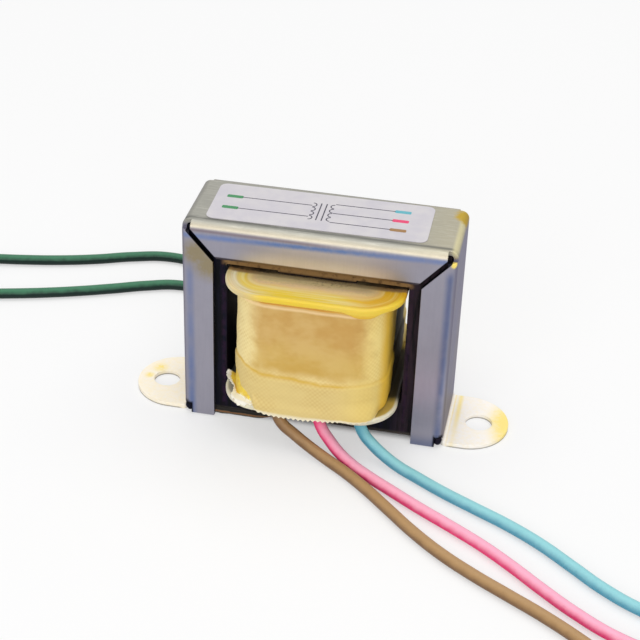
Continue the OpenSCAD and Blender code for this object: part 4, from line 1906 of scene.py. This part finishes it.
@dataclass
class TornTail:
    """The torn end of the tape: a curled flap with a frayed edge over the lower flange's front left."""

    finish: FrayedTape = FrayedTape()
    half_x: float = 14.2
    half_y: float = 16.9
    corner: float = 7.1
    start: float = -19.7
    stop: float = -7.6
    foot: float = 9.92
    on_coil: float = 0.35
    clear: float = 0.12
    narrowest: float = 0.15
    fray: float = 0.3
    fray_pitch: Pair = (2.1, 6.3)
    fine_fray: float = 0.7
    whiten: float = 0.3
    crumple: float = 0.16
    crumple_pitch: Pair = (1.3, 2.5)
    fall: float = 0.9
    thickness: float = 0.12
    smooth_to: float = 70.0
    columns: int = 110
    rows: int = 24
    heights: Knots = ((-14.2, 5.0), (-13.0, 3.4), (-10.6, 2.2), (-7.6, 0.9))
    whites: Knots = ((-17.0, 0.6), (-14.5, 0.48), (-12.8, 0.16), (-8.0, 0.1))
    spans: Knots = (
        (-19.7, 2.2), (-18.6, 2.15), (-17.3, 1.2), (-15.9, 0.4), (-14.7, 0.7), (-13.5, 1.75), (-11.6, 1.75),
        (-10.6, 1.2), (-9.9, 0.8), (-9.0, 0.3), (-7.6, 0.15),
    )
    rims: Knots = ((-18.0, 2.05), (-13.5, 1.7), (-10.5, 0.95), (-8.0, 0.45))
    lifts: Knots = ((-19.7, 1.05), (-18.6, 0.65), (-17.3, 0.35), (-14.0, 0.3), (-12.0, 0.1), (-7.6, 0.1))

    def build(self) -> None:
        """Bends a fine grid from the coil down over the flange and frays its outer edge."""
        cells = {"x_subdivisions": self.columns, "y_subdivisions": self.rows, "size": 2 * MM}
        piece = Piece.add("tape_tail", bpy.ops.mesh.primitive_grid_add, **cells)
        piece.mark(BORDER, self.frayed)
        piece.sculpt(self.drape)
        piece.modify("SOLIDIFY", thickness=self.thickness * MM, offset=0.0)
        piece.smooth(self.smooth_to)
        piece.settle(self.finish.make(), "anchor_tape")

    def unroll(self, at: Vector) -> Pair:
        """How far round the corner a point of the grid goes, and its share of the way to the torn edge."""
        return self.start + (self.stop - self.start) * (at.x + 1) / 2, (1 - at.y) / 2

    def frayed(self, at: Vector) -> float:
        """Says how white the cloth is.

        Args:
            at: A point of the grid.

        Returns:
            1 where it is frayed and 0 where it is stuck down.
        """
        around, reach = self.unroll(at)
        white = between(self.whites, around)
        return ease(reach, white, white + self.whiten)

    def drape(self, at: Vector) -> Vector:
        """Takes a point of the grid to its place on the corner.

        Args:
            at: The point.

        Returns:
            Its place.
        """
        around, reach = self.unroll(at)
        place, away = self.on_corner(around)
        coarse, fine = (around * pitch for pitch in self.fray_pitch)
        ragged = noise.noise(Vector((coarse, 0.0, 4.0)))
        ragged += self.fine_fray * noise.noise(Vector((fine, 2.0, 0.0)))
        level, down = self.crumple_pitch
        crumple = self.crumple * noise.noise(Vector((around * level, reach * down, 7.0)))
        part = max(0.0, reach - self.on_coil) / (1 - self.on_coil)
        stuck = max(0.0, 1 - reach / self.on_coil)
        span = max(self.narrowest, between(self.spans, around) + self.fray * ragged)
        out = self.clear * (1 - stuck) + part * span
        over = max(0.0, out - between(self.rims, around))
        lift = (between(self.lifts, around) + crumple) * part
        point = place + away * (out + 0.3 * abs(crumple) * (1 - part))
        point.z = self.foot + self.clear + between(self.heights, around) * stuck + lift - self.fall * over
        return point

    def on_corner(self, around: float) -> tuple[Vector, Vector]:
        """Finds a place on the coil's front left corner.

        Args:
            around: How far it is from the middle of the front, less than 0 on the left.

        Returns:
            The point there and the way out of it.
        """
        flat_x, flat_y = self.half_x - self.corner, self.half_y - self.corner
        turn = min(math.pi / 2, max(0.0, (-around - flat_x) / self.corner))
        away = Vector((-math.sin(turn), -math.cos(turn), 0.0))
        along_side = max(0.0, -around - flat_x - math.pi / 2 * self.corner)
        middle = Vector((max(around, -flat_x), along_side - flat_y, 0.0))
        return middle + away * self.corner, away


@dataclass
class Label:
    """The paper label's print: a plain winding diagram with a key of the leads' colours."""

    middle: Pair = (-1.15, 0.35)
    turn: float = 0.8
    line: float = 0.22
    loop: float = 0.8
    loops: int = 4
    loop_sides: int = 24
    loop_fit: float = 0.98
    film: float = 0.012
    core_x: float = 0.5
    coil_x: float = 2.0
    left_lines: Point = (-8.6, 13.0, 0.66)
    right_lines: Point = (7.6, 11.0, 1.06)
    key_size: Pair = (1.5, 0.5)
    key_corner: float = 0.25
    keys: tuple[tuple[str, float, float, str], ...] = (
        ("brown", 14.5, -3.4, "#9A7446"),
        ("red", 14.5, 0.0, "#E0406E"),
        ("blue", 14.5, 3.4, "#5FAEBB"),
        ("green", -16.5, 2.1, "#3B8553"),
        ("far_green", -16.5, -2.1, "#3B8553"),
    )

    def build(self) -> None:
        """Draws the diagram and the key on top of the label."""
        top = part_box("label")[1].z / MM + self.film / 2
        self.fix(self.diagram(top), Ink())
        level = (0.0, 0.0, top * MM)
        for name, x, y, colour in self.keys:
            plane = bpy.ops.mesh.primitive_plane_add
            key = Piece.add(f"label_key_{name}", plane, size=2 * MM, location=level)
            key.edit(whole=True)
            bpy.ops.transform.resize(value=(*self.key_size, 1.0))
            bpy.ops.transform.translate(value=(x * MM, y * MM, 0.0))
            bpy.ops.mesh.bevel(offset=self.key_corner * MM, segments=3, affect="VERTICES")
            key.leave()
            key.apply()
            self.fix(key, Ink(f"ink_{name}", colour, colour))

    def diagram(self, top: float) -> Piece:
        """Draws two rows of loops beside two core bars, with lines to the key.

        Args:
            top: The height of the print.

        Returns:
            The diagram, one face thick.
        """
        level = (0.0, 0.0, top * MM)
        piece = Piece.add("label_diagram", bpy.ops.mesh.primitive_plane_add, size=MM, location=level)
        piece.apply()
        piece.edit(whole=True)
        bpy.ops.mesh.delete(type="VERT")
        height = self.loop * self.loops
        for side in (-1, 1):
            self.bar((side * self.core_x, 0.0, top), (self.line, 2 * height))
        for side in (-1, 1):
            for index in range(self.loops):
                y = (2 * index + 1 - self.loops) * self.loop
                self.arc(piece, (side * self.coil_x, y, top), -side)
        for (x, length, spread), rows in ((self.left_lines, (-1, 1)), (self.right_lines, (-1, 0, 1))):
            for row in rows:
                self.bar((x, row * height * spread, top), (length, self.line))
        piece.leave()
        return piece

    @staticmethod
    def bar(middle: Point, size: Pair) -> None:
        """Adds one printed line to the mesh that is being edited.

        Args:
            middle: Its middle.
            size: Its length along X and along Y.
        """
        at = [v * MM for v in middle]
        bpy.ops.mesh.select_all(action="DESELECT")
        bpy.ops.mesh.primitive_plane_add(size=MM, location=at)
        bpy.ops.transform.resize(value=(*size, 1.0), center_override=at)

    def arc(self, piece: Piece, middle: Point, side: int) -> None:
        """Adds one half loop to the mesh that is being edited.

        Args:
            piece: The diagram.
            middle: The loop's middle.
            side: 1 to keep the half on its right and -1 to keep the left one.
        """
        at = Vector(middle) * MM
        bpy.ops.mesh.select_all(action="DESELECT")
        radius = self.loop_fit * self.loop * MM
        bpy.ops.mesh.primitive_circle_add(vertices=self.loop_sides, radius=radius, location=at)
        mesh = bmesh.from_edit_mesh(piece.object.data)
        away = [v for v in mesh.verts if v.select and (v.co.x - at.x) * side < -10 * TOUCH]
        bmesh.ops.delete(mesh, geom=away, context="VERTS")
        bmesh.update_edit_mesh(piece.object.data)
        bpy.ops.mesh.extrude_edges_move()
        inner = 1 - self.line / self.loop
        bpy.ops.transform.resize(value=(inner, inner, 1.0), center_override=at)

    def fix(self, piece: Piece, ink: Ink) -> None:
        """Turns a print with the label, gives it its thickness and fixes it.

        Args:
            piece: The print, one face thick.
            ink: Its finish.
        """
        piece.object.rotation_euler = (0.0, 0.0, math.radians(self.turn))
        piece.object.location = (self.middle[0] * MM, self.middle[1] * MM, 0.0)
        piece.apply()
        piece.edit()
        piece.face_out()
        piece.modify("SOLIDIFY", thickness=self.film * MM, offset=0.0)
        piece.settle(ink.make(), "label")


def main() -> None:
    """Builds the scene in order and notes its size."""
    logging.basicConfig(level=logging.INFO, format="%(name)s: %(message)s")
    for assembly in (
        PhotoCamera(),
        Leads(),
        Studio(),
        PackedSolids(),
        NotchShadeBeads(),
        DarkEdgeRun(),
        Bracket(),
        Bobbin(),
        CoilTape(),
        AnchorTape(),
        TornTail(),
        Label(),
    ):
        assembly.build()


if __name__ == "__main__":
    main()
